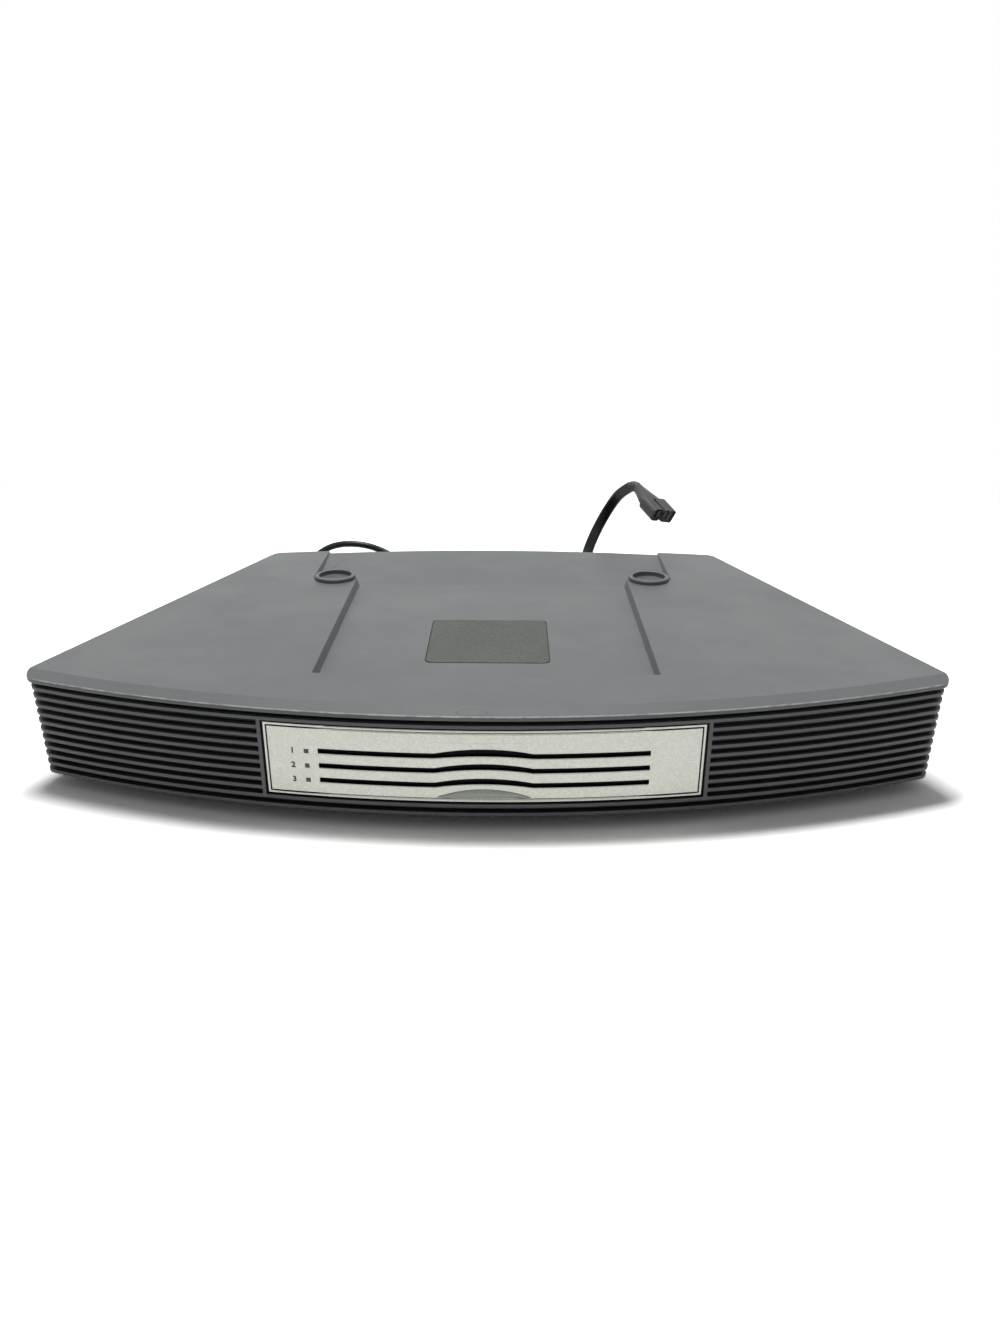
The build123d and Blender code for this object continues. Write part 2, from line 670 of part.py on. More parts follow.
def make_screws():
    """Case screws from below, and the four that hold the chassis down."""
    screws = Part()
    for x, d in SCREWS:
        head = post(SCREW_HEAD_R, x, back(d), 0.3, 0.3 + SCREW_HEAD_H)
        head -= box(x - 2.2, x + 2.2, back(d) - 0.4, back(d) + 0.4, 0, 1.1)
        head -= box(x - 0.4, x + 0.4, back(d) - 2.2, back(d) + 2.2, 0, 1.1)
        screws += head + post(SCREW_R - 0.2, x, back(d), 0.5, WALL + 20)
    for x, d in EARS:
        screws += post(1.2, x, back(d), FLOOR_Z, FLOOR_Z + SHEET)
        screws += post(2.4, x, back(d), FLOOR_Z + SHEET, FLOOR_Z + SHEET + 1.4)
    return screws


# ---- mains inlet and leads ----
def figure_eight(w, h, y, x, z):
    """Outline of two joined circles, the shape of the small two-pole mains connector."""
    r = h / 2
    off = w / 2 - r
    plane = Plane(origin=(x, y, z), x_dir=(1, 0, 0), z_dir=(0, -1, 0))
    shape = Pos(-off, 0) * Circle(r) + Pos(off, 0) * Circle(r) + Rectangle(2 * off, h * 0.82)
    return plane * shape


def back_face(x):
    """Y of the casing's back at x, at half height."""
    r = BACK_R - lean(20)
    return BACK_Y - BACK_R + math.sqrt(r * r - x * x)


def inlet_face():
    """Y of the inlet's outer face."""
    return back_face(INLET_X) + INLET_PAD_OUT + 1.3


def make_mains_inlet():
    y = inlet_face()
    solid = box(INLET_X - 11, INLET_X + 11, y - 20, y - 0.6, INLET_Z - 7, INLET_Z + 7)
    solid += box(INLET_X - 13, INLET_X + 13, y - 1.3, y, INLET_Z - 9, INLET_Z + 9)
    solid -= extrude(figure_eight(15.6, 8.2, y + 1, INLET_X, INLET_Z), amount=14, dir=(0, -1, 0))
    for side in (-1, 1):
        solid -= bar_y(INLET_PIN_R, y - 21, y - 4, INLET_X + side * PIN_PITCH / 2, INLET_Z)
    return solid


def make_inlet_pins():
    y = inlet_face()
    pins = Part()
    for side in (-1, 1):
        pins += bar_y(INLET_PIN_R, y - 23, y - 4.5, INLET_X + side * PIN_PITCH / 2, INLET_Z)
    return pins


def make_gland(x, z, r, end_y):
    """Tapered strain relief: a neck through the panel, a flange on its pad, a ribbed tail."""
    y = back_face(x) + PAD_OUT
    outer = [(3.9, -5.0), (3.9, 0.0), (5.6, 0.0), (5.6, 2.1), (r + 2.2, 2.5), (r + 0.8, end_y - y)]
    points = [(0, -5.0)] + outer + [(0, end_y - y)]
    profile = Wire.make_polygon([(x + a, y + b, z) for a, b in points], close=True)
    solid = revolve(Face(profile), axis=Axis((x, y, z), (0, 1, 0)), revolution_arc=360)
    for n in range(3):
        ring = 6.5 + 4.0 * n
        solid -= bar_y(r + 4, y + ring, y + ring + 1.4, x, z) - bar_y(r + 0.9, y, y + 30, x, z)
    return solid


def lead_path(points):
    """Straight runs joined by arcs that are as large as the runs allow."""
    radii = []
    for p, q, s in zip(points, points[1:], points[2:]):
        a, b = Vector(*q) - Vector(*p), Vector(*s) - Vector(*q)
        turn = math.radians(a.get_angle(b))
        radii.append(0.45 * min(a.length, b.length) / math.tan(turn / 2))
    print("lead radii", [round(r, 1) for r in radii])
    return FilletPolyline(*points, radius=radii)


def make_lead(points, r):
    path = lead_path(points)
    start = Vector(*points[1]) - Vector(*points[0])
    section = Plane(origin=points[0], z_dir=start) * Circle(r)
    tube = sweep(section, path=path)
    print("lead length", round(path.length, 1), "volume share",
          round(tube.volume / (math.pi * r * r * path.length), 4))
    return tube


# route of the flat lead, from its strain relief up behind the casing to its plug
LINK_ROUTE = [
    (LINK_X, 130.5, LINK_Z + STAND_H), (LINK_X, 141.5, LINK_Z + STAND_H), (55.6, 152.4, 36.6),
    (60.2, 157.0, 47.6), (65.4, 157.0, 58.6), (70.4, 154.2, 68.4), (74.8, 149.2, 75.8),
    (79.4, 142.6, 80.0),
]

# route of the round lead: an arch behind the back edge, then down to the floor
SIGNAL_ROUTE = [
    (SIGNAL_X, 130.5, SIGNAL_Z + STAND_H), (SIGNAL_X, 141.5, SIGNAL_Z + STAND_H),
    (-57.4, 150.8, 32.0), (-67.4, 155.0, 37.4), (-80.2, 155.4, 41.6), (-95.6, 155.5, 41.6),
    (-107.2, 155.7, 36.2), (-114.8, 155.9, 26.6), (-120.6, 156.1, 16.2), (-128.0, 156.4, 7.6),
    (-138.2, 157.0, 2.0), (-148.6, 157.0, 2.0),
]


def make_link_plug():
    """Two-hole socket plug of the flat lead: a tail that bends over, a grip and two lobes."""
    start, before = Vector(*LINK_ROUTE[-1]), Vector(*LINK_ROUTE[-2])
    along = (start - before).normalized()
    down = Vector(*PLUG_DIRECTION).normalized()
    axis = along.cross(down).normalized()
    centre = start + axis.cross(along) * PLUG_BEND_R
    turn = along.get_angle(down)
    ring = Plane(origin=start, x_dir=axis, z_dir=along) * Circle(PLUG_TAIL_R)
    tail = revolve(ring, axis=Axis(centre, axis), revolution_arc=turn)
    end = centre - axis.cross(down) * PLUG_BEND_R
    across = Vector(*PLUG_ACROSS)
    across = (across - down * across.dot(down)).normalized()
    frame = Plane(origin=end, x_dir=across, z_dir=down)
    half = PLUG_W / 4

    def lobes(s):
        left = Pos(-half, 0, s) * RectangleRounded(PLUG_W / 2 + 0.4, PLUG_H, PLUG_H * 0.44)
        return left + Pos(half, 0, s) * RectangleRounded(PLUG_W / 2 + 0.4, PLUG_H, 1.2)

    grip = loft([Circle(PLUG_TAIL_R), Pos(0, 0, 8) * RectangleRounded(11.0, 6.8, 2.8)])
    grip += loft([Pos(0, 0, 8) * RectangleRounded(11.0, 6.8, 2.8),
                  Pos(0, 0, 15) * RectangleRounded(PLUG_W - 0.6, PLUG_H - 0.6, 3.0)])
    nose = extrude(lobes(15), amount=PLUG_L - 15)
    for side in (-1, 1):
        nose -= Pos(side * PIN_PITCH / 2, 0, PLUG_L - 5) * Cylinder(1.45, 12)
        nose -= Pos(0, side * (PLUG_H / 2), 0) * Box(1.6, 1.4, 99)
    return tail + frame * (grip + nose)


def make_signal_plug():
    """Round connector that lies on the floor behind the casing."""
    x, y, z = SIGNAL_ROUTE[-1]
    rise = SIGNAL_PLUG_R + 0.05 - z
    grip = Cylinder(SIGNAL_PLUG_R, 14)
    tail = loft([Circle(SIGNAL_R + 0.1), Pos(rise, 0, 10) * Circle(SIGNAL_PLUG_R)])
    shell = Cylinder(SIGNAL_PLUG_R - 0.6, 8) - Cylinder(SIGNAL_PLUG_R - 1.2, 8.2)
    core = Cylinder(1.0, 7)
    for angle in (0, 120, 240):
        core += Rot(0, 0, angle) * Pos(2.4, 0, 0) * Cylinder(0.5, 7)
    solid = tail + Pos(rise, 0, 17) * grip + Pos(rise, 0, 27.9) * shell + Pos(rise, 0, 27.4) * core
    return Plane(origin=(x, y, z), x_dir=(0, 0, 1), z_dir=(-1, 0, 0)) * solid


# ---- mechanism chassis ----
def make_mech_chassis():
    half = CHASSIS_X + SHEET
    y0, y1 = back(CHASSIS_FRONT), back(CHASSIS_BACK)
    solid = box(-half, half, y0, y1, FLOOR_Z, CHASSIS_TOP)
    solid -= box(-CHASSIS_X, CHASSIS_X, y0 - 1, y1 + 1, FLOOR_Z + SHEET, CHASSIS_TOP + 1)
    solid -= box(-62, 68.5, back(PLAY_D - TRAVERSE_DEEP - 1), back(PLAY_D + TRAVERSE_DEEP + 1),
                 0, FLOOR_Z + SHEET + 0.1)
    solid -= box(-24, 24, back(140), back(CHASSIS_BACK - 14), 0, FLOOR_Z + SHEET + 0.1)
    for x, d in EARS:
        x0, x1 = sorted((math.copysign(CHASSIS_X, x), math.copysign(EAR_END, x)))
        solid += box(x0, x1, back(d - 4), back(d + 4), FLOOR_Z, FLOOR_Z + SHEET)
        solid -= post(1.3, x, back(d), 0, FLOOR_Z + 9)
    for side in (-1, 1):
        x0, x1 = sorted((side * (CHASSIS_X - 1), side * (half + 1)))
        for k in range(SLOTS):
            solid -= bar_x(ROLLER_SHAFT_R + FIT, x0, x1, back(ROLLER_D), roller_z(k))
        solid -= bar_x(CROSS_SHAFT_R + FIT, x0, x1, back(LIFT_SHAFT_D), SHAFT_Z)
        solid -= bar_x(CROSS_SHAFT_R + FIT, x0, x1, back(ELEVATOR_SHAFT_D), SHAFT_Z)
        wide = 2 * (PIN_R + FIT)
        for d in LIFT_PIN_D:
            solid -= ramp(wide, x0, x1, (back(d), LIFT_PIN_Z), (back(d), LIFT_PIN_Z + LIFT_RISE))
        for d in ELEVATOR_PIN_D:
            solid -= ramp(wide, x0, x1, (back(d), ELEVATOR_PIN_Z - ELEVATOR_RISE),
                          (back(d), ELEVATOR_PIN_Z + ELEVATOR_RISE))
    return solid


def make_top_bridge():
    """Strap across the top of the chassis, with the transfer lever's stud."""
    half = CHASSIS_X + SHEET
    strap = box(-half, half, back(160), back(192), CHASSIS_TOP, CHASSIS_TOP + BRIDGE_T)
    x, d = LEVER_PIVOT
    stud = post(1.5, x, back(d), LEVER_Z - 0.3, CHASSIS_TOP + 0.5)
    return strap + stud + post(2.6, x, back(d), LEVER_Z - 0.8, LEVER_Z - 0.2)


def make_chassis_studs():
    """Headed studs outside the chassis: the cam plates' guides and the idlers' axles."""
    studs = make_idler_axles()
    for side in (-1, 1):
        for d in LIFT_STUDS:
            studs += stud_x(side, LIFT_CAM_X, d, LIFT_STUD_Z)
        for d in ELEVATOR_STUDS:
            studs += stud_x(side, ELEVATOR_CAM_X, d, ELEVATOR_STUD_Z)
    return studs


def stud_x(side, cam_x, d, z):
    inner = CHASSIS_X + SHEET
    head = cam_x + CAM_T + 0.2
    x0, x1 = sorted((side * inner, side * head))
    h0, h1 = sorted((side * head, side * (head + 0.8)))
    return bar_x(STUD_R, x0, x1, back(d), z) + bar_x(STUD_R + 1.0, h0, h1, back(d), z)


# ---- loading ----
def roller_z(k):
    return disc_z(k) - DISC_T / 2 - ROLLER_R


def mesh_angle():
    """Direction from a roller's gear up to its idler."""
    centres = SMALL_MODULE * SMALL_TEETH
    return math.degrees(math.asin(SLOT_PITCH / 2 / centres))


def idler_d():
    centres = SMALL_MODULE * SMALL_TEETH
    return ROLLER_D + math.sqrt(centres ** 2 - (SLOT_PITCH / 2) ** 2)


def gear_phases():
    """Phases that put every roller gear and idler in mesh at rest."""
    step = 360 / SMALL_TEETH
    angle = mesh_angle()
    rollers, idlers = {SLOTS - 1: 0.0}, {}
    for k in range(SLOTS - 1, 0, -1):
        idlers[k - 1] = (step / 2 + 2 * angle - rollers[k]) % step
        rollers[k - 1] = (step / 2 - 2 * angle - idlers[k - 1]) % step
    return rollers, idlers


def make_roller_shaft(k):
    y, z = back(ROLLER_D), roller_z(k)
    rollers, _ = gear_phases()
    entry = MOTOR_OFF + 4.0 if k == SLOTS - 1 else 0.6
    shaft = bar_x(ROLLER_SHAFT_R, -CHASSIS_X - SHEET - entry, GEAR_OUT, y, z)
    return shaft + gear_x(SMALL_TEETH, SMALL_MODULE, GEAR_IN, GEAR_OUT, y, z, rollers[k])


def make_roller_sleeve(k):
    """Rubber sleeve in two halves that taper to the middle, so that a disc centres itself."""
    y, z = back(ROLLER_D), roller_z(k)
    solid = Part()
    for side in (-1, 1):
        points = [(0, ROLLER_SHAFT_R), (0, ROLLER_R - 0.5), (side * ROLLER_HALF, ROLLER_R),
                  (side * ROLLER_HALF, ROLLER_SHAFT_R)]
        wire = Wire.make_polygon([(x, y, z + r) for x, r in points], close=True)
        solid += revolve(Face(wire), axis=Axis((0, y, z), (1, 0, 0)), revolution_arc=360)
    return solid


def idler_z(k):
    return (roller_z(k) + roller_z(k + 1)) / 2


def make_idler(k):
    y = back(idler_d())
    _, idlers = gear_phases()
    solid = gear_x(SMALL_TEETH, SMALL_MODULE, GEAR_IN, GEAR_OUT, y, idler_z(k), idlers[k])
    return solid - bar_x(0.8 + FIT, GEAR_IN - 1, GEAR_OUT + 1, y, idler_z(k))


def make_idler_axles():
    axles = Part()
    for k in range(SLOTS - 1):
        y = back(idler_d())
        axles += bar_x(0.8, CHASSIS_X + SHEET, GEAR_OUT + 0.4, y, idler_z(k))
        axles += bar_x(1.3, GEAR_IN - 0.6, GEAR_IN - 0.2, y, idler_z(k))
        axles += bar_x(1.3, GEAR_OUT + 0.2, GEAR_OUT + 0.8, y, idler_z(k))
    return axles


def make_loading_motor():
    """Gear motor on the chassis wall that turns the lowest roller from its left end."""
    wall = -CHASSIS_X - SHEET
    x1 = wall - MOTOR_OFF
    y, z = back(ROLLER_D), roller_z(SLOTS - 1)
    case = box(x1 - 9, x1, y - 2.2, y + 9, z - 4, z + 4.5)
    case += box(x1 - 1, wall, y - 2.0, y + 2.0, z - 2.4, z + 2.4)
    case -= bar_x(ROLLER_SHAFT_R + FIT, x1 - 5, wall + 1, y, z)
    return case + bar_x(4.6, x1 - 25, x1 - 9, y + 5.5, z + 1.0)


# ---- elevator ----
def cam_plate(x_in, side, d0, d1, z0, z1):
    x0, x1 = sorted((side * x_in, side * (x_in + CAM_T)))
    return x0, x1, box(x0, x1, back(d0), back(d1), z0, z1)


def make_elevator_cam(side):
    """Sliding plate whose sloped slots raise and lower the stocker."""
    x0, x1, solid = cam_plate(ELEVATOR_CAM_X, side, 115.5, 204.5, 9.6, 31.6)
    wide = 2 * (PIN_R + FIT)
    for d in ELEVATOR_PIN_D:
        solid -= ramp(wide, x0 - 1, x1 + 1,
                      (back(d + ELEVATOR_TRAVEL), ELEVATOR_PIN_Z - ELEVATOR_RISE),
                      (back(d - ELEVATOR_TRAVEL), ELEVATOR_PIN_Z + ELEVATOR_RISE))
    for d in ELEVATOR_STUDS:
        a, b = back(d - ELEVATOR_TRAVEL), back(d + ELEVATOR_TRAVEL)
        solid -= slot_y(2 * (STUD_R + FIT), a, b, x0 - 1, x1 + 1, ELEVATOR_STUD_Z)
    z = SHAFT_Z + BIG_MODULE * BIG_TEETH / 2
    reach = ELEVATOR_TRAVEL + 5.5
    y = back(ELEVATOR_SHAFT_D)
    return solid + rack(x0, x1, y - reach, y + reach, y, z, 2.0)


def make_elevator_shaft():
    y = back(ELEVATOR_SHAFT_D)
    end = ELEVATOR_CAM_X + CAM_T
    solid = bar_x(CROSS_SHAFT_R, -end - SHAFT_ENTRY, end, y, SHAFT_Z)
    for side in (-1, 1):
        x0, x1 = sorted((side * ELEVATOR_CAM_X, side * end))
        solid += gear_x(BIG_TEETH, BIG_MODULE, x0, x1, y, SHAFT_Z, 90)
    return solid


def make_cross_motor(d):
    """Gear motor at the left end of a cross shaft; d is the shaft's place."""
    x1 = -(ELEVATOR_CAM_X + CAM_T + 0.4)
    y = back(d)
    case = box(x1 - 9, x1, y - 5, y + 12, WALL, SHAFT_Z + 5)
    case -= bar_x(CROSS_SHAFT_R + FIT, x1 - SHAFT_ENTRY, x1 + 1, y, SHAFT_Z)
    return case + bar_x(4.8, x1 - 28, x1 - 9, y + 4.0, WALL + 5.0)


def make_stocker_frame():
    """Cage of the stored discs: base plate, two side walls and four lift pins."""
    half = 65.2
    y0, y1 = back(104), back(212)
    base_z = disc_z(SLOTS - 1) - 2.6
    top_z = disc_z(0) + 1.0
    solid = box(-half, half, y0, y1, base_z, base_z + 0.8)
    solid -= box(-14, 14, back(136), back(220), 0, CASE_H)
    solid -= post(46, 0, back(STOCK_D), 0, CASE_H) & box(-WIDTH, WIDTH, back(122), back(196), 0, CASE_H)
    for side in (-1, 1):
        x0, x1 = sorted((side * (half - SHEET), side * half))
        solid += box(x0, x1, y0, y1, base_z, top_z)
        p0, p1 = sorted((side * (half - 0.5), side * (ELEVATOR_CAM_X + CAM_T)))
        for d in ELEVATOR_PIN_D:
            solid += bar_x(PIN_R, p0, p1, back(d), ELEVATOR_PIN_Z)
    return solid


def make_disc_tray(k):
    """Two ledges that carry one disc by its edge, open in the middle and at the back."""
    z = disc_z(k)
    half = 65.2 - SHEET
    ledges = box(-half, half, back(104), back(212), z - 1.6, z + 0.6)
    ledges -= post(DISC_R + 0.8, 0, back(STOCK_D), z - 0.6, z + 9)
    ledges -= post(DISC_R - 3, 0, back(STOCK_D), z - 9, z + 9)
    ledges -= box(-38, 38, back(100), back(220), z - 9, z + 9)
    return ledges


# ---- traverse: lifts the turntable and pickup to the disc ----
def make_lift_cam(side):
    x0, x1, solid = cam_plate(LIFT_CAM_X, side, 39.0, 98.5, 9.9, 31.0)
    wide = 2 * (PIN_R + FIT)
    for d in LIFT_PIN_D:
        solid -= ramp(wide, x0 - 1, x1 + 1, (back(d), LIFT_PIN_Z),
                      (back(d - LIFT_TRAVEL), LIFT_PIN_Z + LIFT_RISE))
    for d in LIFT_STUDS:
        solid -= slot_y(2 * (STUD_R + FIT), back(d - LIFT_TRAVEL), back(d), x0 - 1, x1 + 1,
                        LIFT_STUD_Z)
    z = SHAFT_Z + BIG_MODULE * BIG_TEETH / 2
    y = back(LIFT_SHAFT_D)
    return solid + rack(x0, x1, y - LIFT_TRAVEL - 2.5, y + 6.5, y, z, 1.0)


def make_lift_shaft():
    y = back(LIFT_SHAFT_D)
    solid = bar_x(CROSS_SHAFT_R, -ELEVATOR_CAM_X - CAM_T - SHAFT_ENTRY, LIFT_CAM_X + CAM_T, y, SHAFT_Z)
    for side in (-1, 1):
        x0, x1 = sorted((side * LIFT_CAM_X, side * (LIFT_CAM_X + CAM_T)))
        solid += gear_x(BIG_TEETH, BIG_MODULE, x0, x1, y, SHAFT_Z, 90)
    return solid


def make_traverse_plate():
    half = TRAVERSE_HALF
    y0, y1 = back(PLAY_D - TRAVERSE_DEEP), back(PLAY_D + TRAVERSE_DEEP)
    z0, z1 = TRAVERSE_Z, TRAVERSE_Z + SHEET
    solid = box(-half, half, y0, y1, z0, z1)
    solid -= post(8.0 + FIT, 0, back(PLAY_D), z0 - 1, z1 + 1)
    solid -= box(13, half - 1.2, back(PLAY_D - 12.5), back(PLAY_D + 12.5), z0 - 1, z1 + 1)
    solid -= box(-58, -18, back(PLAY_D - 12), back(PLAY_D + 12), z0 - 1, z1 + 1)
    for side in (-1, 1):
        x0, x1 = sorted((side * half, side * (half + SHEET)))
        solid += box(x0, x1, y0, y1, z0, z1 + 1.2)
        solid += box(x0, x1, y0, y0 + 6, z0, LIFT_PIN_Z + 2)
        solid += box(x0, x1, y1 - 6, y1, z0, LIFT_PIN_Z + 2)
        p0, p1 = sorted((side * (half + 0.5), side * (LIFT_CAM_X + CAM_T)))
        for d in LIFT_PIN_D:
            solid += bar_x(PIN_R, p0, p1, back(d), LIFT_PIN_Z)
    for x0, x1 in ((11.0, 14.0), (half - 1.5, half)):
        for off in (-ROD_OFF, ROD_OFF):
            y = back(PLAY_D + off)
            solid += box(x0, x1, y - 2.2, y + 2.2, z1 - 0.5, ROD_Z + 2)
            solid -= bar_x(ROD_R + FIT, x0 - 1, min(x1 + 1, half - 0.6), y, ROD_Z)
    return solid


def make_spindle_motor():
    y = back(PLAY_D)
    solid = post(11.0, 0, y, TRAVERSE_Z - 1.4, TRAVERSE_Z) + post(8.0, 0, y, TRAVERSE_Z, TABLE_Z - 1.4)
    return solid - post(SPINDLE_R + FIT, 0, y, TRAVERSE_Z - 0.6, TABLE_Z)


def make_turntable():
    y = back(PLAY_D)
    solid = post(TABLE_R, 0, y, TABLE_Z - 1.0, TABLE_Z)
    boss = post(HUB_R, 0, y, TABLE_Z, TABLE_Z + HUB_H)
    top = boss.edges().filter_by(GeomType.CIRCLE).sort_by(Axis.Z)[-1]
    solid += chamfer(top, 0.9)
    return solid + post(SPINDLE_R, 0, y, TRAVERSE_Z - 0.4, TABLE_Z)


def make_pickup_sled():
    x0, x1 = SLED_X
    y = back(PLAY_D)
    solid = box(x0, x1, y - ROD_OFF - 2.6, y + ROD_OFF + 2.4, ROD_Z - 0.6, ROD_Z + 1.6)
    solid += box(x0, x1, y - ROD_OFF - 2.6, y - ROD_OFF + 2.6, TRAVERSE_Z + SHEET + 0.2, ROD_Z + 2.1)
    solid += box(x0, x1, y - 11.5, y + 11.5, TRAVERSE_Z - 1.4, ROD_Z + 0.4)
    solid -= bar_x(ROD_R + FIT, x0 - 1, x1 + 1, y - ROD_OFF, ROD_Z)
    solid -= bar_x(ROD_R + FIT, x0 - 1, x1 + 1, y + ROD_OFF, ROD_Z)
    middle = (x0 + x1) / 2
    return solid - post(LENS_R + 0.6, middle, y, ROD_Z, ROD_Z + 3)


def make_pickup_lens():
    middle = sum(SLED_X) / 2
    y = back(PLAY_D)
    solid = post(LENS_R, middle, y, ROD_Z, ROD_Z + 1.5)
    return solid + post(LENS_R - 1.2, middle, y, ROD_Z + 1.4, ROD_Z + 1.9)


def make_guide_rod():
    return bar_x(ROD_R, 11.2, TRAVERSE_HALF - 0.7, back(PLAY_D - ROD_OFF), ROD_Z)


def make_lead_screw():
    y = back(PLAY_D + ROD_OFF)
    solid = bar_x(ROD_R, 9.0, TRAVERSE_HALF - 0.7, y, ROD_Z)
    for n in range(12):
        x = 15.0 + 4.0 * n
        solid -= bar_x(ROD_R + 1, x, x + 1.2, y, ROD_Z) - bar_x(ROD_R - 0.3, x - 1, x + 3, y, ROD_Z)
    return solid


def make_sled_motor():
    y = back(PLAY_D + ROD_OFF)
    z = TRAVERSE_Z + SHEET
    solid = box(-14.0, 10.9, y - 2.8, y + 2.8, z, z + 4.6)
    return solid - bar_x(ROD_R + FIT, 8.5, 12, y, ROD_Z)


# ---- clamp ----
def tilted_up(solid):
    """The clamp's pieces are drawn as they clamp, then stood up about their hinge."""
    hinge = Pos(CLAMP_PIVOT_X, 0, CLAMP_PIVOT_Z)
    return hinge * Rot(0, -CLAMP_TILT, 0) * Pos(-CLAMP_PIVOT_X, 0, -CLAMP_PIVOT_Z) * solid


def make_clamp_bracket():
    """Two ears on the chassis wall with the clamp arm's hinge pin between them."""
    y = back(PLAY_D)
    solid = bar_y(1.2, y - 11, y + 11, CLAMP_PIVOT_X, CLAMP_PIVOT_Z)
    for side in (-1, 1):
        y0, y1 = sorted((y + side * 9.0, y + side * 11.0))
        solid += box(-CHASSIS_X, CLAMP_PIVOT_X + 2.4, y0, y1, CLAMP_PIVOT_Z - 2.4, CLAMP_PIVOT_Z + 2.4)
    return solid


def make_clamp_arm():
    y = back(PLAY_D)
    z = CLAMP_PIVOT_Z
    solid = bar_y(2.0, y - 8.8, y + 8.8, CLAMP_PIVOT_X, z)
    arm = Wire.make_polygon([(CLAMP_PIVOT_X, y - 8.8, z - 0.5), (-8, y - 6.5, z - 0.5), (8, y - 6.5, z - 0.5),
                             (8, y + 6.5, z - 0.5), (-8, y + 6.5, z - 0.5),
                             (CLAMP_PIVOT_X, y + 8.8, z - 0.5)], close=True)
    solid += extrude(Face(arm), amount=1.0, dir=(0, 0, 1))
    solid -= bar_y(1.2 + FIT, y - 9, y + 9, CLAMP_PIVOT_X, z)
    solid -= post(3.9, 0, y, z - 3, z + 3)
    solid -= box(-48, -18, y - 3.5, y + 3.5, z - 3, z + 3)
    return tilted_up(solid)


def make_clamp_puck():
    y = back(PLAY_D)
    low = disc_z(1) + DISC_T / 2
    z = CLAMP_PIVOT_Z
    solid = post(PUCK_R, 0, y, low, low + 2.4) - post(HUB_R + 0.6, 0, y, low - 1, low + HUB_H + 0.4)
    solid += post(3.5, 0, y, low + 2.2, z + 1.0) + post(5.5, 0, y, z + 0.8, z + 1.8)
    return tilted_up(solid)


# ---- transfer lever ----
def make_transfer_lever():
    """Long lever whose pin pushes a disc out of the stocker to the playing place."""
    (ax, ad), (bx, bd) = LEVER_PIVOT, LEVER_PIN
    length = math.hypot(bx - ax, bd - ad)
    angle = math.degrees(math.atan2(bd - ad, bx - ax))
    z0, z1 = LEVER_Z, LEVER_Z + LEVER_T
    arm = Pos((ax + bx) / 2, back((ad + bd) / 2), (z0 + z1) / 2) * Rot(0, 0, angle) * Box(
        length, 6.0, LEVER_T)
    solid = arm + post(4.5, ax, back(ad), z0, z1) + post(3.0, bx, back(bd), z0, z1)
    solid -= post(1.5 + FIT, ax, back(ad), z0 - 1, z1 + 1)
    return solid + post(1.5, bx, back(bd), LEVER_PIN_LOW, z0)


# ---- boards ----
def board(corners, holes):
    wire = Wire.make_polygon([(x, back(d), BOARD_Z) for x, d in corners], close=True)
    solid = extrude(Face(wire), amount=BOARD_T, dir=(0, 0, 1))
    for x, d in holes:
        solid -= post(1.4, x, back(d), 0, BOARD_Z + 9)
    return solid


def make_main_board():
    return board([(86, 66), (154, 66), (124, 178), (86, 178)], MAIN_HOLES)


def make_board_components():
    """Chips and capacitors of both boards."""
    z = BOARD_Z + BOARD_T
    chips = Part()
    for x, d, w, h in ((108, 96, 20, 20), (128, 128, 14, 14), (104, 132, 12, 18), (100, 158, 10, 6)):
        chips += box(x - w / 2, x + w / 2, back(d) - h / 2, back(d) + h / 2, z, z + 1.8)
    for x, d, r, h in ((136, 84, 4, 11), (136, 95, 4, 11), (116, 150, 3, 8), (-120, 138, 6, 20),
                       (-119, 152, 4, 12)):
        chips += post(r, x, back(d), z, z + h)
    return chips


def make_power_board():
    return board([(-106, 66), (-154, 66), (-126, 166), (-106, 166)], POWER_HOLES)


def make_transformer():
    """Laminated core with its winding through the middle."""
    z = BOARD_Z + BOARD_T
    x0, x1, d0, d1 = -146.0, -112.0, 78.0, 118.0
    core = box(x0, x1, back(d0), back(d1), z + 4, z + 16)
    coil = box(x0 + 6, x1 - 6, back(d0 + 4), back(d1 - 4), z, z + 20)
    return core + coil


def make_indicator_board():
    z0, z1 = lens_z(SLOTS - 1) - 4, lens_z(0) + 4
    return box(-CHASSIS_X + 0.1, -WINDOW_HALF - 0.7, back(LENS_SEAT), back(GUIDE_FRONT), z0, z1)


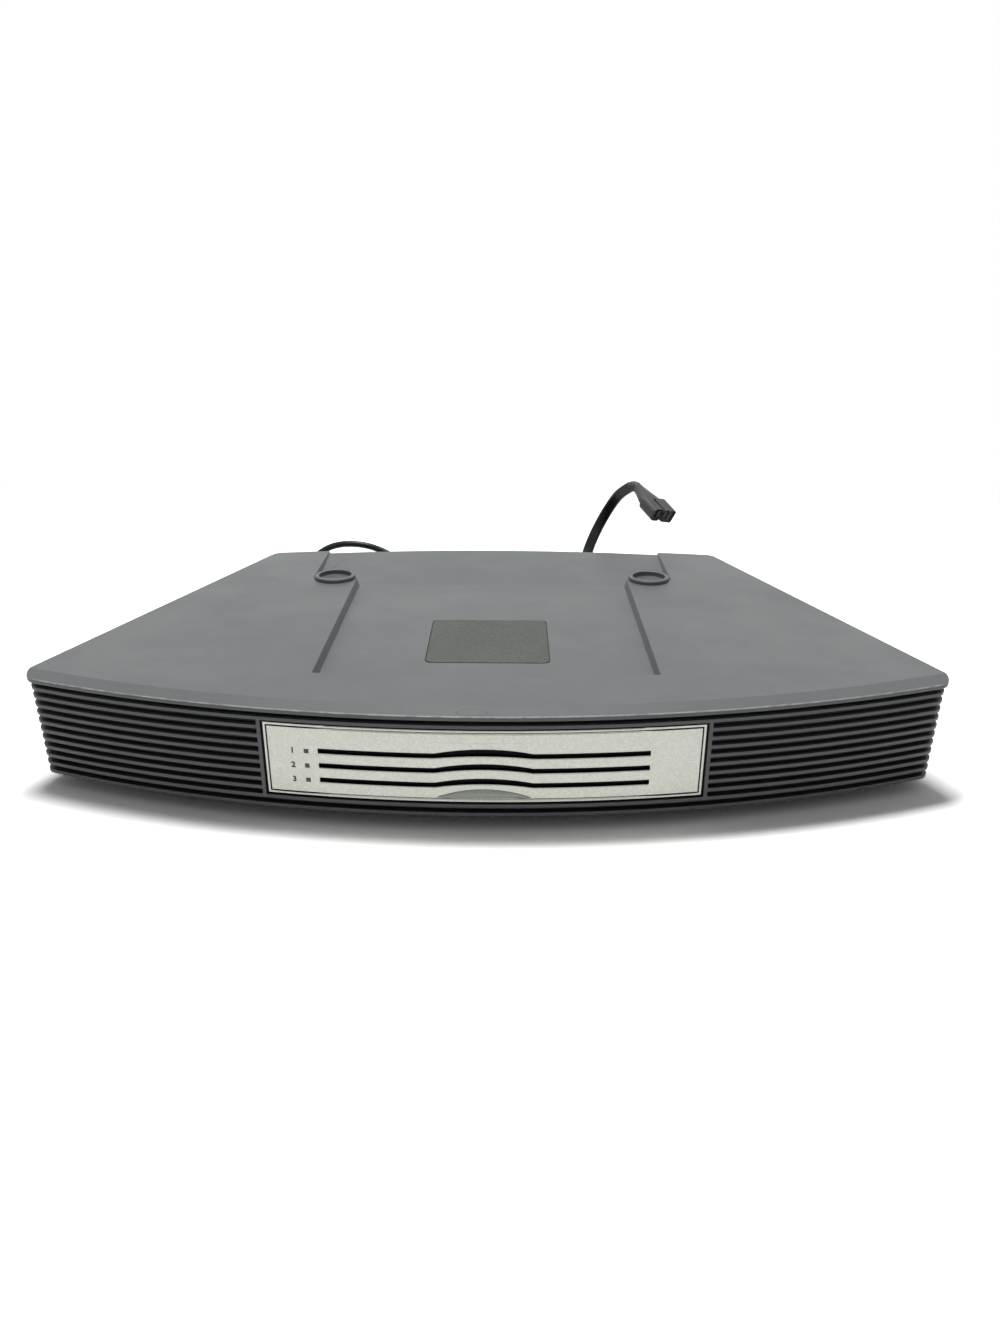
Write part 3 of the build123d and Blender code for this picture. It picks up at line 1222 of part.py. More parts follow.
PIECES = [
    ("top_cover", make_top_cover), ("top_pad", make_top_pad), ("front_grille", make_front_grille),
    ("faceplate", make_faceplate), ("crescent_inlay", make_crescent_inlay),
    ("indicator_lenses", make_indicator_lenses), ("slot_felts", make_slot_felts),
    ("disc_guide", make_disc_guide), ("indicator_board", make_indicator_board),
    ("base_tray", make_base_tray), ("rear_panel", make_rear_panel),
    ("rubber_feet", make_rubber_feet), ("screws", make_screws),
    ("mains_inlet", make_mains_inlet), ("inlet_pins", make_inlet_pins),
    ("mech_chassis", make_mech_chassis),
    ("top_bridge", make_top_bridge), ("chassis_studs", make_chassis_studs),
    ("loading_motor", make_loading_motor),
    ("elevator_shaft", make_elevator_shaft), ("stocker_frame", make_stocker_frame),
    ("lift_shaft", make_lift_shaft), ("traverse_plate", make_traverse_plate),
    ("spindle_motor", make_spindle_motor), ("turntable", make_turntable),
    ("pickup_sled", make_pickup_sled), ("pickup_lens", make_pickup_lens),
    ("guide_rod", make_guide_rod), ("lead_screw", make_lead_screw),
    ("sled_motor", make_sled_motor), ("clamp_bracket", make_clamp_bracket),
    ("clamp_arm", make_clamp_arm), ("clamp_puck", make_clamp_puck),
    ("transfer_lever", make_transfer_lever), ("main_board", make_main_board),
    ("board_components", make_board_components), ("power_board", make_power_board),
    ("transformer", make_transformer),
]
for name, make in PIECES:
    write(name, make())
for name, side in (("left", -1), ("right", 1)):
    write(f"foot_cup_{name}", make_foot_cup(side))
    write(f"elevator_cam_{name}", make_elevator_cam(side))
    write(f"lift_cam_{name}", make_lift_cam(side))
for k in range(SLOTS):
    write(f"loading_roller_{k + 1}", make_roller_shaft(k), make_roller_sleeve(k))
    write(f"disc_tray_{k + 1}", make_disc_tray(k))
for k in range(SLOTS - 1):
    write(f"roller_idler_{k + 1}", make_idler(k))
write("elevator_motor", make_cross_motor(ELEVATOR_SHAFT_D))
write("lift_motor", make_cross_motor(LIFT_SHAFT_D))
write("link_gland", make_gland(LINK_X, LINK_Z, LINK_R, LINK_ROUTE[0][1]))
write("signal_gland", make_gland(SIGNAL_X, SIGNAL_Z, SIGNAL_R, SIGNAL_ROUTE[0][1]))
write("link_lead", make_lead(LINK_ROUTE, LINK_R), lifted=False)
write("signal_lead", make_lead(SIGNAL_ROUTE, SIGNAL_R), lifted=False)
write("link_plug", make_link_plug(), lifted=False)
write("signal_plug", make_signal_plug(), lifted=False)
print(len(written), "nodes")
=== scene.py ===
import json
import math

import bmesh
import bpy
from bpy.props import FloatProperty, FloatVectorProperty, PointerProperty
from bpy.types import Operator, Panel, PropertyGroup
from mathutils import Matrix, Vector

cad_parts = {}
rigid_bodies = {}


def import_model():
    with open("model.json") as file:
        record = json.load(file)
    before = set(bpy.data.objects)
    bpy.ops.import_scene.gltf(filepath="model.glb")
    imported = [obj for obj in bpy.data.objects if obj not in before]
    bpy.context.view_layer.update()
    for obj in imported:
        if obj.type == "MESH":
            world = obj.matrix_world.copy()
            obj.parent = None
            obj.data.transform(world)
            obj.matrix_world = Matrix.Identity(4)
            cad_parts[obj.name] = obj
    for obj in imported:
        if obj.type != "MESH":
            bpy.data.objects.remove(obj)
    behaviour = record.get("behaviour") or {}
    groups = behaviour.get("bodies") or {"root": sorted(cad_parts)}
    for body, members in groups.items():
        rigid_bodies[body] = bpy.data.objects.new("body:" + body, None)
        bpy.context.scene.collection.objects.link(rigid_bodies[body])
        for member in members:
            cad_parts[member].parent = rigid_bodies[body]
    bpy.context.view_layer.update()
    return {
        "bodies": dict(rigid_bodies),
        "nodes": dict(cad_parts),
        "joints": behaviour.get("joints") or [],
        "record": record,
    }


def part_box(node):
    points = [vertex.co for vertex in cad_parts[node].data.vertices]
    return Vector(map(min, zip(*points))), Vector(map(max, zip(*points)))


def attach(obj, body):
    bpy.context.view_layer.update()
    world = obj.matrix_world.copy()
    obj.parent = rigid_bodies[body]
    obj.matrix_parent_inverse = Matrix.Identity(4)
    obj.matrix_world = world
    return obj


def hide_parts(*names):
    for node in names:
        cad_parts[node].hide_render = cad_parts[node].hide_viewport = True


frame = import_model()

bl_info = {
    "name": "Disc changer",
    "version": (1, 0, 0),
    "blender": (4, 5, 0),
    "location": "3D View > Sidebar > Disc changer",
    "description": "Dresses the frame of a disc changer with its finishes, leads and stage",
    "category": "Object",
}

MM = 0.001
CASING = "casing"

# The bowed front and the lean of its walls, as the frame has them, in metres.
FRONT_Y = -113.5 * MM
FRONT_R = 497.5 * MM
DRAFT = math.radians(2.2)
LID_LOW_Z = 46.9 * MM        # where the lid's rim begins
RIM_EDGE_Z = 48.5 * MM       # its upper edge, before the sloped band
PLATE_FACE_BACK = 0.35 * MM  # how far the silver plate lies behind the ribs
SPLIT_X = 80.6 * MM          # cuts of the large flat faces, outside the slots and the pad
SILL = 0.33 * MM             # slope along the lower edge of each slot
SKIN = 0.40 * MM             # how far into the slots the silver goes
RIM_W = 0.60 * MM            # bevelled rim of the crescent
# black of the slots' insides, and of the painted shade in the gap round the slot plate's face
DARK = (0.008, 0.008, 0.008)

# Control points of the two leads: the route of their solids in the frame, in metres.
LINK_ROUTE = [
    (0.0540, 0.1305, 0.0300), (0.0540, 0.1415, 0.0300), (0.0556, 0.1524, 0.0366),
    (0.0602, 0.1570, 0.0476), (0.0654, 0.1570, 0.0586), (0.0704, 0.1542, 0.0684),
    (0.0748, 0.1492, 0.0758), (0.0794, 0.1426, 0.0800),
]
SIGNAL_ROUTE = [
    (-0.0520, 0.1305, 0.0280), (-0.0520, 0.1415, 0.0280), (-0.0574, 0.1508, 0.0320),
    (-0.0674, 0.1550, 0.0374), (-0.0802, 0.1554, 0.0416), (-0.0956, 0.1555, 0.0416),
    (-0.1072, 0.1557, 0.0362), (-0.1148, 0.1559, 0.0266), (-0.1206, 0.1561, 0.0162),
    (-0.1280, 0.1564, 0.0076), (-0.1382, 0.1570, 0.0020), (-0.1486, 0.1570, 0.0020),
]

# The plug's tail bends over from the end of the flat lead to the way that the plug points.
PLUG_WAY = Vector((0.44, -0.80, -0.40)).normalized()
PLUG_SIDE = Vector((0.83, 0.49, -0.25))
PLUG_BEND = 7.5 * MM


# ---- sizes and colours that a user would change ----
def colour(name, text, value):
    return FloatVectorProperty(name=name, description=text, default=value, subtype="COLOR",
                               size=3, min=0.0, max=1.0)


def length(name, text, value):
    return FloatProperty(name=name, description=text, default=value, min=0.0, unit="LENGTH",
                         precision=5)


def share(name, text, value):
    return FloatProperty(name=name, description=text, default=value, min=0.0, max=1.0,
                         subtype="FACTOR")


class ChangerFinishes(PropertyGroup):
    lid: colour("Lid", "Graphite paint of the lid", (0.146, 0.156, 0.158))
    ribs: colour("Ribs", "Graphite of the ribbed front and the base", (0.090, 0.094, 0.100))
    plate: colour("Plate", "Pale silver of the slot plate", (0.520, 0.530, 0.470))
    inlay: colour("Inlay", "Grey-green field of the crescent", (0.330, 0.360, 0.320))
    pad: colour("Pad", "Olive-grey rubber pad", (0.128, 0.138, 0.124))
    black: colour("Black", "Black mouldings", (0.018, 0.018, 0.019))
    jacket: colour("Jacket", "Jacket of the leads", (0.010, 0.010, 0.011))
    plug: colour("Plug", "Moulded plug of the flat lead", (0.060, 0.061, 0.062))
    steel: colour("Steel", "Sheet steel of the mechanism", (0.520, 0.520, 0.510))
    white: colour("White plastic", "Natural gear plastic", (0.640, 0.625, 0.580))
    board: colour("Board", "Lacquered circuit boards", (0.020, 0.110, 0.045))
    lens: colour("Lens", "Unlit indicator lenses", (0.022, 0.021, 0.020))


class ChangerSizes(PropertyGroup):
    lid_edge: length("Lid edge", "Radius of the lid's edges", 0.35 * MM)
    rib_edge: length("Rib edge", "Radius of the ribs' edges", 0.30 * MM)
    plate_edge: length("Plate edge", "Radius of the slot plate's edges", 0.12 * MM)
    cup_edge: length("Cup edge", "Radius of the foot cups' edges", 0.45 * MM)
    figure_height: length("Figure height", "Height of the numbers by the slots", 2.3 * MM)
    figure_x: length("Figure place", "Distance of the numbers from the middle", 72.4 * MM)
    lead_width: length("Flat lead width", "Width of the flat lead", 6.2 * MM)
    lead_thickness: length("Flat lead thickness", "Thickness of the flat lead", 2.8 * MM)
    round_lead: length("Round lead", "Diameter of the round lead", 3.8 * MM)
    plug_width: length("Plug width", "Width of the flat plug's face", 17.2 * MM)
    plug_thickness: length("Plug thickness", "Thickness of the flat plug's face", 7.8 * MM)
    plug_length: length("Plug length", "Length of the flat plug from its bent tail", 27.0 * MM)


class ChangerStudio(PropertyGroup):
    floor: colour("Floor", "White table top", (0.86, 0.86, 0.86))
    lift: share("Table white", "How much whiter the table looks than it lights the casing", 1.00)
    key: FloatProperty(name="Top light", description="Power of the lamp overhead",
                       default=10.0, min=0.0, unit="POWER")
    sky: share("Room light", "Strength of the white room around", 0.17)
    focal: FloatProperty(name="Focal length", description="Camera lens in millimetres",
                         default=28.0, min=1.0)
    eye: FloatVectorProperty(name="Camera place", description="Place of the camera",
                             default=(0.00917, -0.45711, 0.20492), subtype="TRANSLATION",
                             size=3, unit="LENGTH")
    pitch: FloatProperty(name="Pitch", description="How far the camera looks down",
                         default=math.radians(21.63), subtype="ANGLE")
    yaw: FloatProperty(name="Yaw", description="How far the camera looks to the side",
                       default=math.radians(-0.54), subtype="ANGLE")
    roll: FloatProperty(name="Roll", description="How far the camera is tilted",
                        default=math.radians(-0.15), subtype="ANGLE")


# ---- shared helpers ----
def piece(name, mesh, body=CASING):
    """A finished piece at the origin, on its body."""
    obj = bpy.data.objects.new(name, mesh)
    bpy.context.scene.collection.objects.link(obj)
    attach(obj, body)
    return obj


def to_mesh(bm, name):
    mesh = bpy.data.meshes.new(name)
    bm.to_mesh(mesh)
    bm.free()
    return mesh


def merged(node):
    """A frame node's mesh with its flat faces whole again, but for a few cuts from front to back
    that keep a face from running round its own holes."""
    bm = bmesh.new()
    bm.from_mesh(frame["nodes"][node].data)
    bmesh.ops.remove_doubles(bm, verts=bm.verts, dist=0.002 * MM)
    bmesh.ops.dissolve_limit(bm, angle_limit=math.radians(0.4), verts=bm.verts, edges=bm.edges)
    for x in (-SPLIT_X, 0.0, SPLIT_X):
        bmesh.ops.bisect_plane(bm, geom=[*bm.verts, *bm.edges, *bm.faces], dist=0.001 * MM,
                               plane_co=(x, 0.0, 0.0), plane_no=(1.0, 0.0, 0.0))
    return bm


def softened(node, name, edge, segments=2, angle=32.0, shape=None):
    """A copy of a frame node with its sharp edges broken, which stands for that node."""
    bm = merged(node)
    if shape:
        shape(bm)
    for face in bm.faces:
        face.smooth = True
    for line in bm.edges:
        way = line.verts[1].co - line.verts[0].co
        if len(line.link_faces) == 2 and abs(way.z) < 0.3 * way.length:
            line.smooth = line.calc_face_angle() < math.radians(1.4)
    obj = piece(name, to_mesh(bm, name))
    if "custom_normal" in obj.data.attributes:
        obj.data.attributes.remove(obj.data.attributes["custom_normal"])
    bevel = obj.modifiers.new("Broken edges", "BEVEL")
    bevel.width = edge
    bevel.segments = segments
    bevel.limit_method = "ANGLE"
    bevel.angle_limit = math.radians(angle)
    bevel.use_clamp_overlap = False
    bevel.harden_normals = True
    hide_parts(node)
    return obj


def bevel_slot_sills(bm):
    """Slope the lower edge of each disc slot, which catches the light as a bright line."""
    sills = []
    for edge in bm.edges:
        if len(edge.link_faces) == 2 and all(abs(v.co.x) < 62.6 * MM for v in edge.verts):
            up, out = sorted(edge.link_faces, key=lambda face: face.normal.y, reverse=True)
            if up.normal.z > 0.9 and out.normal.y < -0.7 and edge.calc_length() > 0.3 * MM:
                sills.append(edge)
    bmesh.ops.bevel(bm, geom=sills, offset=SILL, offset_type="OFFSET", segments=1,
                    profile=0.5, affect="EDGES", material=-1)


def wear(obj, material):
    """Give a piece or a frame node one material, all over."""
    obj.data.materials.clear()
    obj.data.materials.append(material)
    return obj


def front_place(x, z, out=0.0):
    """A place on the bowed, leaning front at (x, z), and the direction that it faces."""
    radius = FRONT_R - (1.0 * MM + (LID_LOW_Z - z) * math.tan(DRAFT)) - PLATE_FACE_BACK + out
    side = math.asin(x / radius)
    centre = Vector((0.0, FRONT_Y + FRONT_R, z))
    outward = Vector((math.sin(side), -math.cos(side), 0.0))
    return centre + outward * radius, (outward - Vector((0, 0, math.tan(DRAFT)))).normalized()


# ---- materials ----
class Graph:
    """A small builder for one material's nodes."""

    def __init__(self, name, base, roughness, metallic=0.0, specular=0.5):
        self.material = bpy.data.materials.new(name)
        self.material.use_nodes = True
        self.tree = self.material.node_tree
        self.shader = self.tree.nodes["Principled BSDF"]
        self.base = tuple(base)
        self.shader.inputs["Base Color"].default_value = (*self.base, 1.0)
        self.shader.inputs["Roughness"].default_value = roughness
        self.shader.inputs["Metallic"].default_value = metallic
        self.shader.inputs["Specular IOR Level"].default_value = specular
        self.material.diffuse_color = (*self.base, 1.0)
        self.coords = self.tree.nodes.new("ShaderNodeTexCoord").outputs["Object"]
        self.tint = None
        self.height = None

    def node(self, kind, **values):
        node = self.tree.nodes.new(kind)
        for key, value in values.items():
            if key in ("operation", "blend_type", "data_type", "feature", "interpolation_type",
                       "noise_dimensions", "wave_type", "bands_direction"):
                setattr(node, key, value)
            elif isinstance(value, bpy.types.NodeSocket):
                self.tree.links.new(value, node.inputs[key.replace("_", " ")])
            else:
                node.inputs[key.replace("_", " ")].default_value = value
        return node

    def link(self, out, into):
        self.tree.links.new(out, into)

    def noise(self, scale, detail=2.0, roughness=0.55, stretch=(1, 1, 1)):
        mapping = self.node("ShaderNodeMapping", Vector=self.coords, Scale=stretch)
        return self.node("ShaderNodeTexNoise", Vector=mapping.outputs[0], Scale=scale,
                         Detail=detail, Roughness=roughness).outputs["Fac"]

    def cells(self, scale):
        return self.node("ShaderNodeTexVoronoi", Vector=self.coords,
                         Scale=scale).outputs["Distance"]

    def math(self, operation, a, b=0.0, c=None):
        node = self.node("ShaderNodeMath", operation=operation)
        for socket, value in zip(node.inputs, (a, b) if c is None else (a, b, c)):
            if isinstance(value, bpy.types.NodeSocket):
                self.link(value, socket)
            else:
                socket.default_value = value
        return node.outputs[0]

    def ramp(self, value, low, high, to_low=0.0, to_high=1.0):
        node = self.tree.nodes.new("ShaderNodeMapRange")
        node.interpolation_type = "SMOOTHSTEP"
        self.link(value, node.inputs["Value"])
        for key, number in (("From Min", low), ("From Max", high), ("To Min", to_low),
                            ("To Max", to_high)):
            node.inputs[key].default_value = number
        return node.outputs["Result"]

    def paint(self, mask, target):
        """Lay another colour over the base where the mask is 1."""
        mix = self.tree.nodes.new("ShaderNodeMix")
        mix.data_type = "RGBA"
        self.link(mask, mix.inputs["Factor"])
        mix.inputs[6].default_value = (*self.base, 1.0)
        mix.inputs[7].default_value = (*target, 1.0)
        if self.tint is not None:
            self.link(self.tint, mix.inputs[6])
        self.tint = mix.outputs[2]
        return self

    def cloud(self, scale, amount, detail=3.0, stretch=(1, 1, 1)):
        """Slow change of tone, darker and lighter by a share of the base."""
        mask = self.ramp(self.noise(scale, detail, stretch=stretch), 0.32, 0.68, 0.0, 1.0)
        self.paint(self.math("MULTIPLY", mask, amount), tuple(min(1.0, 1.9 * v) for v in self.base))
        mask = self.ramp(self.noise(scale * 1.7, detail, stretch=stretch), 0.35, 0.72, 0.0, 1.0)
        return self.paint(self.math("MULTIPLY", mask, amount), tuple(0.45 * v for v in self.base))

    def grain(self, scale, depth, detail=2.0, stretch=(1, 1, 1)):
        """Fine relief, depth in metres."""
        return self.relief(self.noise(scale, detail, stretch=stretch), depth)

    def relief(self, value, depth):
        height = self.math("MULTIPLY", value, depth)
        self.height = height if self.height is None else self.math("ADD", self.height, height)
        return self

    def rough(self, scale, low, high, detail=2.0):
        self.link(self.ramp(self.noise(scale, detail), 0.3, 0.7, low, high),
                  self.shader.inputs["Roughness"])
        return self

    def done(self):
        if self.tint is not None:
            self.link(self.tint, self.shader.inputs["Base Color"])
        if self.height is not None:
            bump = self.node("ShaderNodeBump", Strength=1.0, Distance=1.0, Height=self.height)
            self.link(bump.outputs[0], self.shader.inputs["Normal"])
        return self.material


def near(graph, value, centre, half, soft):
    """1 where a value lies within half of a centre, fading out over soft."""
    away = graph.math("ABSOLUTE", graph.math("SUBTRACT", value, centre))
    return graph.ramp(away, half, half + soft, 1.0, 0.0)


def axes_of(graph):
    split = graph.node("ShaderNodeSeparateXYZ", Vector=graph.coords)
    return split.outputs


def bow_depth(graph):
    """How far a place lies behind the bowed front, in plan."""
    x, y, _ = axes_of(graph)
    from_centre = graph.math("SUBTRACT", y, FRONT_Y + FRONT_R)
    square = graph.math("ADD", graph.math("MULTIPLY", x, x),
                        graph.math("MULTIPLY", from_centre, from_centre))
    return graph.math("SUBTRACT", FRONT_R, graph.math("SQRT", square))


def ring(graph, x, y, across, deep, line, soft):
    """A thin oval line in plan around (x, y)."""
    px, py, _ = axes_of(graph)
    u = graph.math("DIVIDE", graph.math("SUBTRACT", px, x), across)
    v = graph.math("DIVIDE", graph.math("SUBTRACT", py, y), deep)
    reach = graph.math("SQRT", graph.math("ADD", graph.math("MULTIPLY", u, u),
                                          graph.math("MULTIPLY", v, v)))
    return near(graph, reach, 1.0, line, soft)


def lid_paint(look):
    graph = Graph("graphite_lid_paint", look.lid, 0.42, specular=0.45)
    graph.cloud(9.0, 0.10, 4.0).cloud(60.0, 0.05)
    graph.grain(2600.0, 0.030 * MM, 2.0).grain(5200.0, 0.012 * MM, 1.0)
    graph.rough(22.0, 0.38, 0.50, 4.0)
    depth = bow_depth(graph)
    z = axes_of(graph)[2]
    # painted highlight, partly wear too: a lighter line along the rim's upper edge at the front,
    # broken up in patches
    patchy = graph.ramp(graph.noise(220.0, 4.0), 0.35, 0.62)
    rim_wear_and_highlight = graph.math("MULTIPLY", near(graph, z, RIM_EDGE_Z, 0.10 * MM, 0.16 * MM),
                      graph.ramp(depth, 0.9 * MM, 1.3 * MM, 1.0, 0.0))
    rim_wear_and_highlight = graph.math("MULTIPLY", rim_wear_and_highlight, graph.math("MULTIPLY_ADD", patchy, 0.7, 0.3))
    graph.paint(rim_wear_and_highlight, (0.42, 0.42, 0.42))
    mark = ring(graph, -4.4 * MM, -110.6 * MM, 5.6 * MM, 1.7 * MM, 0.05, 0.06)
    scuff = graph.math("MULTIPLY", mark, graph.ramp(graph.noise(300.0), 0.35, 0.55))
    graph.paint(graph.math("MULTIPLY", scuff, 0.35), (0.03, 0.03, 0.03))
    specks = graph.ramp(graph.cells(95.0), 0.0, 0.022, 1.0, 0.0)
    rare = graph.ramp(graph.noise(14.0, 1.0), 0.62, 0.66)
    graph.paint(graph.math("MULTIPLY", specks, graph.math("MULTIPLY", rare, 0.5)), (0.5, 0.5, 0.5))
    return graph.done()


def rib_paint(look):
    graph = Graph("graphite_moulding", look.ribs, 0.40, specular=0.5)
    graph.cloud(14.0, 0.10).grain(2400.0, 0.028 * MM).rough(60.0, 0.34, 0.48)
    depth = bow_depth(graph)
    # painted shade: darker deep in the grooves
    shade = graph.ramp(depth, 2.2 * MM, 3.4 * MM, 0.0, 0.85)
    return graph.paint(shade, (0.006, 0.006, 0.006)).done()


def plain_moulding(name, base, roughness=0.5):
    graph = Graph(name, base, roughness)
    return graph.cloud(25.0, 0.12).grain(2000.0, 0.03 * MM).rough(40.0, roughness - 0.06,
                                                                 roughness + 0.08).done()


def plate_paint(look):
    graph = Graph("silver_plate_paint", look.plate, 0.36, metallic=0.7, specular=0.5)
    graph.cloud(900.0, 0.16, 3.0).cloud(2600.0, 0.14, 1.0).cloud(20.0, 0.03)
    graph.grain(3200.0, 0.020 * MM).rough(1500.0, 0.32, 0.46)
    x, _, z = axes_of(graph)
    face_at = graph.math("MULTIPLY_ADD", z, -math.tan(DRAFT),
                         LID_LOW_Z * math.tan(DRAFT) + 1.0 * MM + PLATE_FACE_BACK)
    behind = graph.math("SUBTRACT", bow_depth(graph), face_at)
    rubbed = graph.math("MULTIPLY", near(graph, z, 37.35 * MM, 0.05 * MM, 0.12 * MM),
                        near(graph, x, -3.0 * MM, 17.0 * MM, 2.0 * MM))
    graph.paint(graph.math("MULTIPLY", rubbed, 0.25), (0.22, 0.22, 0.2))
    # the silver is only a skin: deeper in, the slots are black moulding, and the thin dark line in
    # the gap round the plate's recessed face is painted shade
    deep = graph.ramp(behind, SKIN, SKIN + 0.10 * MM)
    # painted shade: the thin dark line in the gap behind the plate's rim, at the top, bottom and
    # sides
    line = graph.math("MULTIPLY", graph.ramp(behind, 0.26 * MM, 0.34 * MM),
                      graph.math("GREATER_THAN", graph.math("ABSOLUTE", graph.math(
                          "SUBTRACT", z, 27.375 * MM)), 13.4 * MM))
    side = graph.math("GREATER_THAN", graph.math("ABSOLUTE", x), 81.0 * MM)
    line = graph.math("MAXIMUM", line, graph.math("MULTIPLY", side, graph.ramp(
        behind, 0.26 * MM, 0.34 * MM)))
    return graph.paint(graph.math("MAXIMUM", deep, line), DARK).done()


def pad_rubber(look):
    graph = Graph("pad_rubber", look.pad, 0.78, specular=0.3)
    graph.cloud(700.0, 0.30, 2.0).cloud(30.0, 0.10)
    graph.relief(graph.cells(1500.0), 0.10 * MM)
    return graph.grain(900.0, 0.05 * MM).done()


def soft_rubber(name, base, roughness=0.6):
    graph = Graph(name, base, roughness, specular=0.4)
    return graph.cloud(40.0, 0.15).grain(1500.0, 0.03 * MM).rough(70.0, roughness - 0.08,
                                                                 roughness + 0.1).done()


def felt_cloth(look):
    graph = Graph("dust_felt", look.black, 0.95, specular=0.1)
    graph.shader.inputs["Sheen Weight"].default_value = 0.3
    return graph.cloud(1800.0, 0.5).relief(graph.cells(4200.0), 0.12 * MM).done()


def sheet_steel(look):
    graph = Graph("sheet_steel", look.steel, 0.34, metallic=1.0)
    graph.cloud(18.0, 0.10).grain(900.0, 0.01 * MM, stretch=(1, 14, 1))
    return graph.rough(60.0, 0.26, 0.42, 4.0).done()


def plated(name, base, roughness):
    graph = Graph(name, base, roughness, metallic=1.0)
    return graph.cloud(60.0, 0.08).rough(200.0, roughness, roughness + 0.12).done()


def board_lacquer(look):
    graph = Graph("board_lacquer", look.board, 0.3, specular=0.5)
    tracks = graph.tree.nodes.new("ShaderNodeTexBrick")
    graph.link(graph.coords, tracks.inputs["Vector"])
    tracks.inputs["Scale"].default_value = 260.0
    tracks.inputs["Mortar Size"].default_value = 0.03
    graph.paint(graph.math("MULTIPLY", tracks.outputs["Fac"], 0.6), (0.05, 0.20, 0.08))
    return graph.grain(1400.0, 0.01 * MM).done()


def winding_lacquer(look):
    graph = Graph("laminations", (0.10, 0.075, 0.055), 0.45, metallic=0.4)
    z = axes_of(graph)[2]
    leaves = graph.math("SINE", graph.math("MULTIPLY", z, 2 * math.pi / (0.5 * MM)))
    return graph.cloud(50.0, 0.2).relief(leaves, 0.02 * MM).done()


def lens_plastic(look):
    graph = Graph("indicator_lens", look.lens, 0.22, specular=0.6)
    return graph.cloud(900.0, 0.25).grain(1800.0, 0.01 * MM).done()


def inlay_field(look):
    graph = Graph("inlay_field", look.inlay, 0.28, metallic=0.2)
    return graph.cloud(500.0, 0.12).cloud(60.0, 0.06).grain(2600.0, 0.012 * MM).done()


def jacket_rubber(look):
    graph = Graph("lead_jacket", look.jacket, 0.26, specular=0.25)
    return graph.cloud(120.0, 0.3).grain(420.0, 0.05 * MM, 2.0).rough(160.0, 0.16, 0.34).done()


def lens_glass():
    graph = Graph("pickup_glass", (0.25, 0.32, 0.42), 0.08, specular=0.8)
    return graph.cloud(400.0, 0.1).done()


# ---- operators: one for each piece or group of like pieces ----
class CHANGER_OT_camera(Operator):
    """Set up the camera at the height, angle and lens that the casing was seen with"""
    bl_idname = "changer.camera"
    bl_label = "Camera"

    def execute(self, context):
        studio = context.scene.changer_studio
        data = bpy.data.cameras.new("camera")
        data.lens = studio.focal
        data.sensor_width = 36.0
        data.sensor_fit = "AUTO"
        data.clip_start = 0.01
        camera = bpy.data.objects.new("camera", data)
        context.scene.collection.objects.link(camera)
        turn = Matrix.Rotation(-studio.yaw, 4, "Z") @ Matrix.Rotation(
            math.pi / 2 - studio.pitch, 4, "X") @ Matrix.Rotation(-studio.roll, 4, "Z")
        camera.matrix_world = Matrix.Translation(studio.eye) @ turn
        context.scene.camera = camera
        return {"FINISHED"}


def nurbs_lead(name, route, depth, extrude, tilts):
    """One smooth lead through its control points, round or flat."""
    curve = bpy.data.curves.new(name, "CURVE")
    curve.dimensions = "3D"
    curve.resolution_u = 14
    curve.bevel_depth = depth / MM
    curve.bevel_resolution = 5
    curve.extrude = extrude / MM
    curve.use_fill_caps = True
    spline = curve.splines.new("NURBS")
    spline.points.add(len(route) - 1)
    for point, place, tilt in zip(spline.points, route, tilts):
        point.co = (*place, 1.0)
        point.tilt = tilt
        point.radius = MM
    spline.order_u = 3
    spline.use_endpoint_u = True
    return curve


class CHANGER_OT_leads(Operator):
    """Lay the flat and the round lead, which leave the back of the casing"""
    bl_idname = "changer.leads"
    bl_label = "Leads"

    def execute(self, context):
        sizes = context.scene.changer_sizes
        jacket = jacket_rubber(context.scene.changer_finishes)
        half = sizes.lead_thickness / 2
        flat = piece("flat_lead", nurbs_lead("flat_lead", LINK_ROUTE, half,
                                             sizes.lead_width / 2 - half,
                                             [math.radians(90)] * len(LINK_ROUTE)))
        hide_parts("link_lead")
        bare = piece("round_lead", nurbs_lead("round_lead", SIGNAL_ROUTE, sizes.round_lead / 2,
                                              0.0, [0.0] * len(SIGNAL_ROUTE)))
        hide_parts("signal_lead")
        wear(flat, jacket)
        wear(bare, jacket)
        return {"FINISHED"}


def next_ring(bm, ring, move, frame, wide, high):
    """Extrude a ring of edges, move it, and scale it in its own frame."""
    grown = bmesh.ops.extrude_edge_only(bm, edges=ring)["geom"]
    verts = [part for part in grown if isinstance(part, bmesh.types.BMVert)]
    bmesh.ops.transform(bm, matrix=move, verts=verts)
    bmesh.ops.scale(bm, vec=(wide, high, 1.0), space=frame.inverted(), verts=verts)
    return [part for part in grown if isinstance(part, bmesh.types.BMEdge)
            and all(vert in verts for vert in part.verts)]


def lobe(bm, frame, place, size, radius):
    """One lobe of the plug's nose: a block with its long edges rounded."""
    block = frame @ Matrix.Translation(place) @ Matrix.Diagonal((*size, 1.0))
    verts = bmesh.ops.create_cube(bm, size=1.0, matrix=block)["verts"]
    way = frame.to_3x3() @ Vector((0, 0, 1))
    edges = {edge for vert in verts for edge in vert.link_edges
             if abs((edge.verts[0].co - edge.verts[1].co).normalized().dot(way)) > 0.9}
    bmesh.ops.bevel(bm, geom=list(edges), offset=radius, offset_type="OFFSET", segments=6,
                    profile=0.5, affect="EDGES", material=-1)


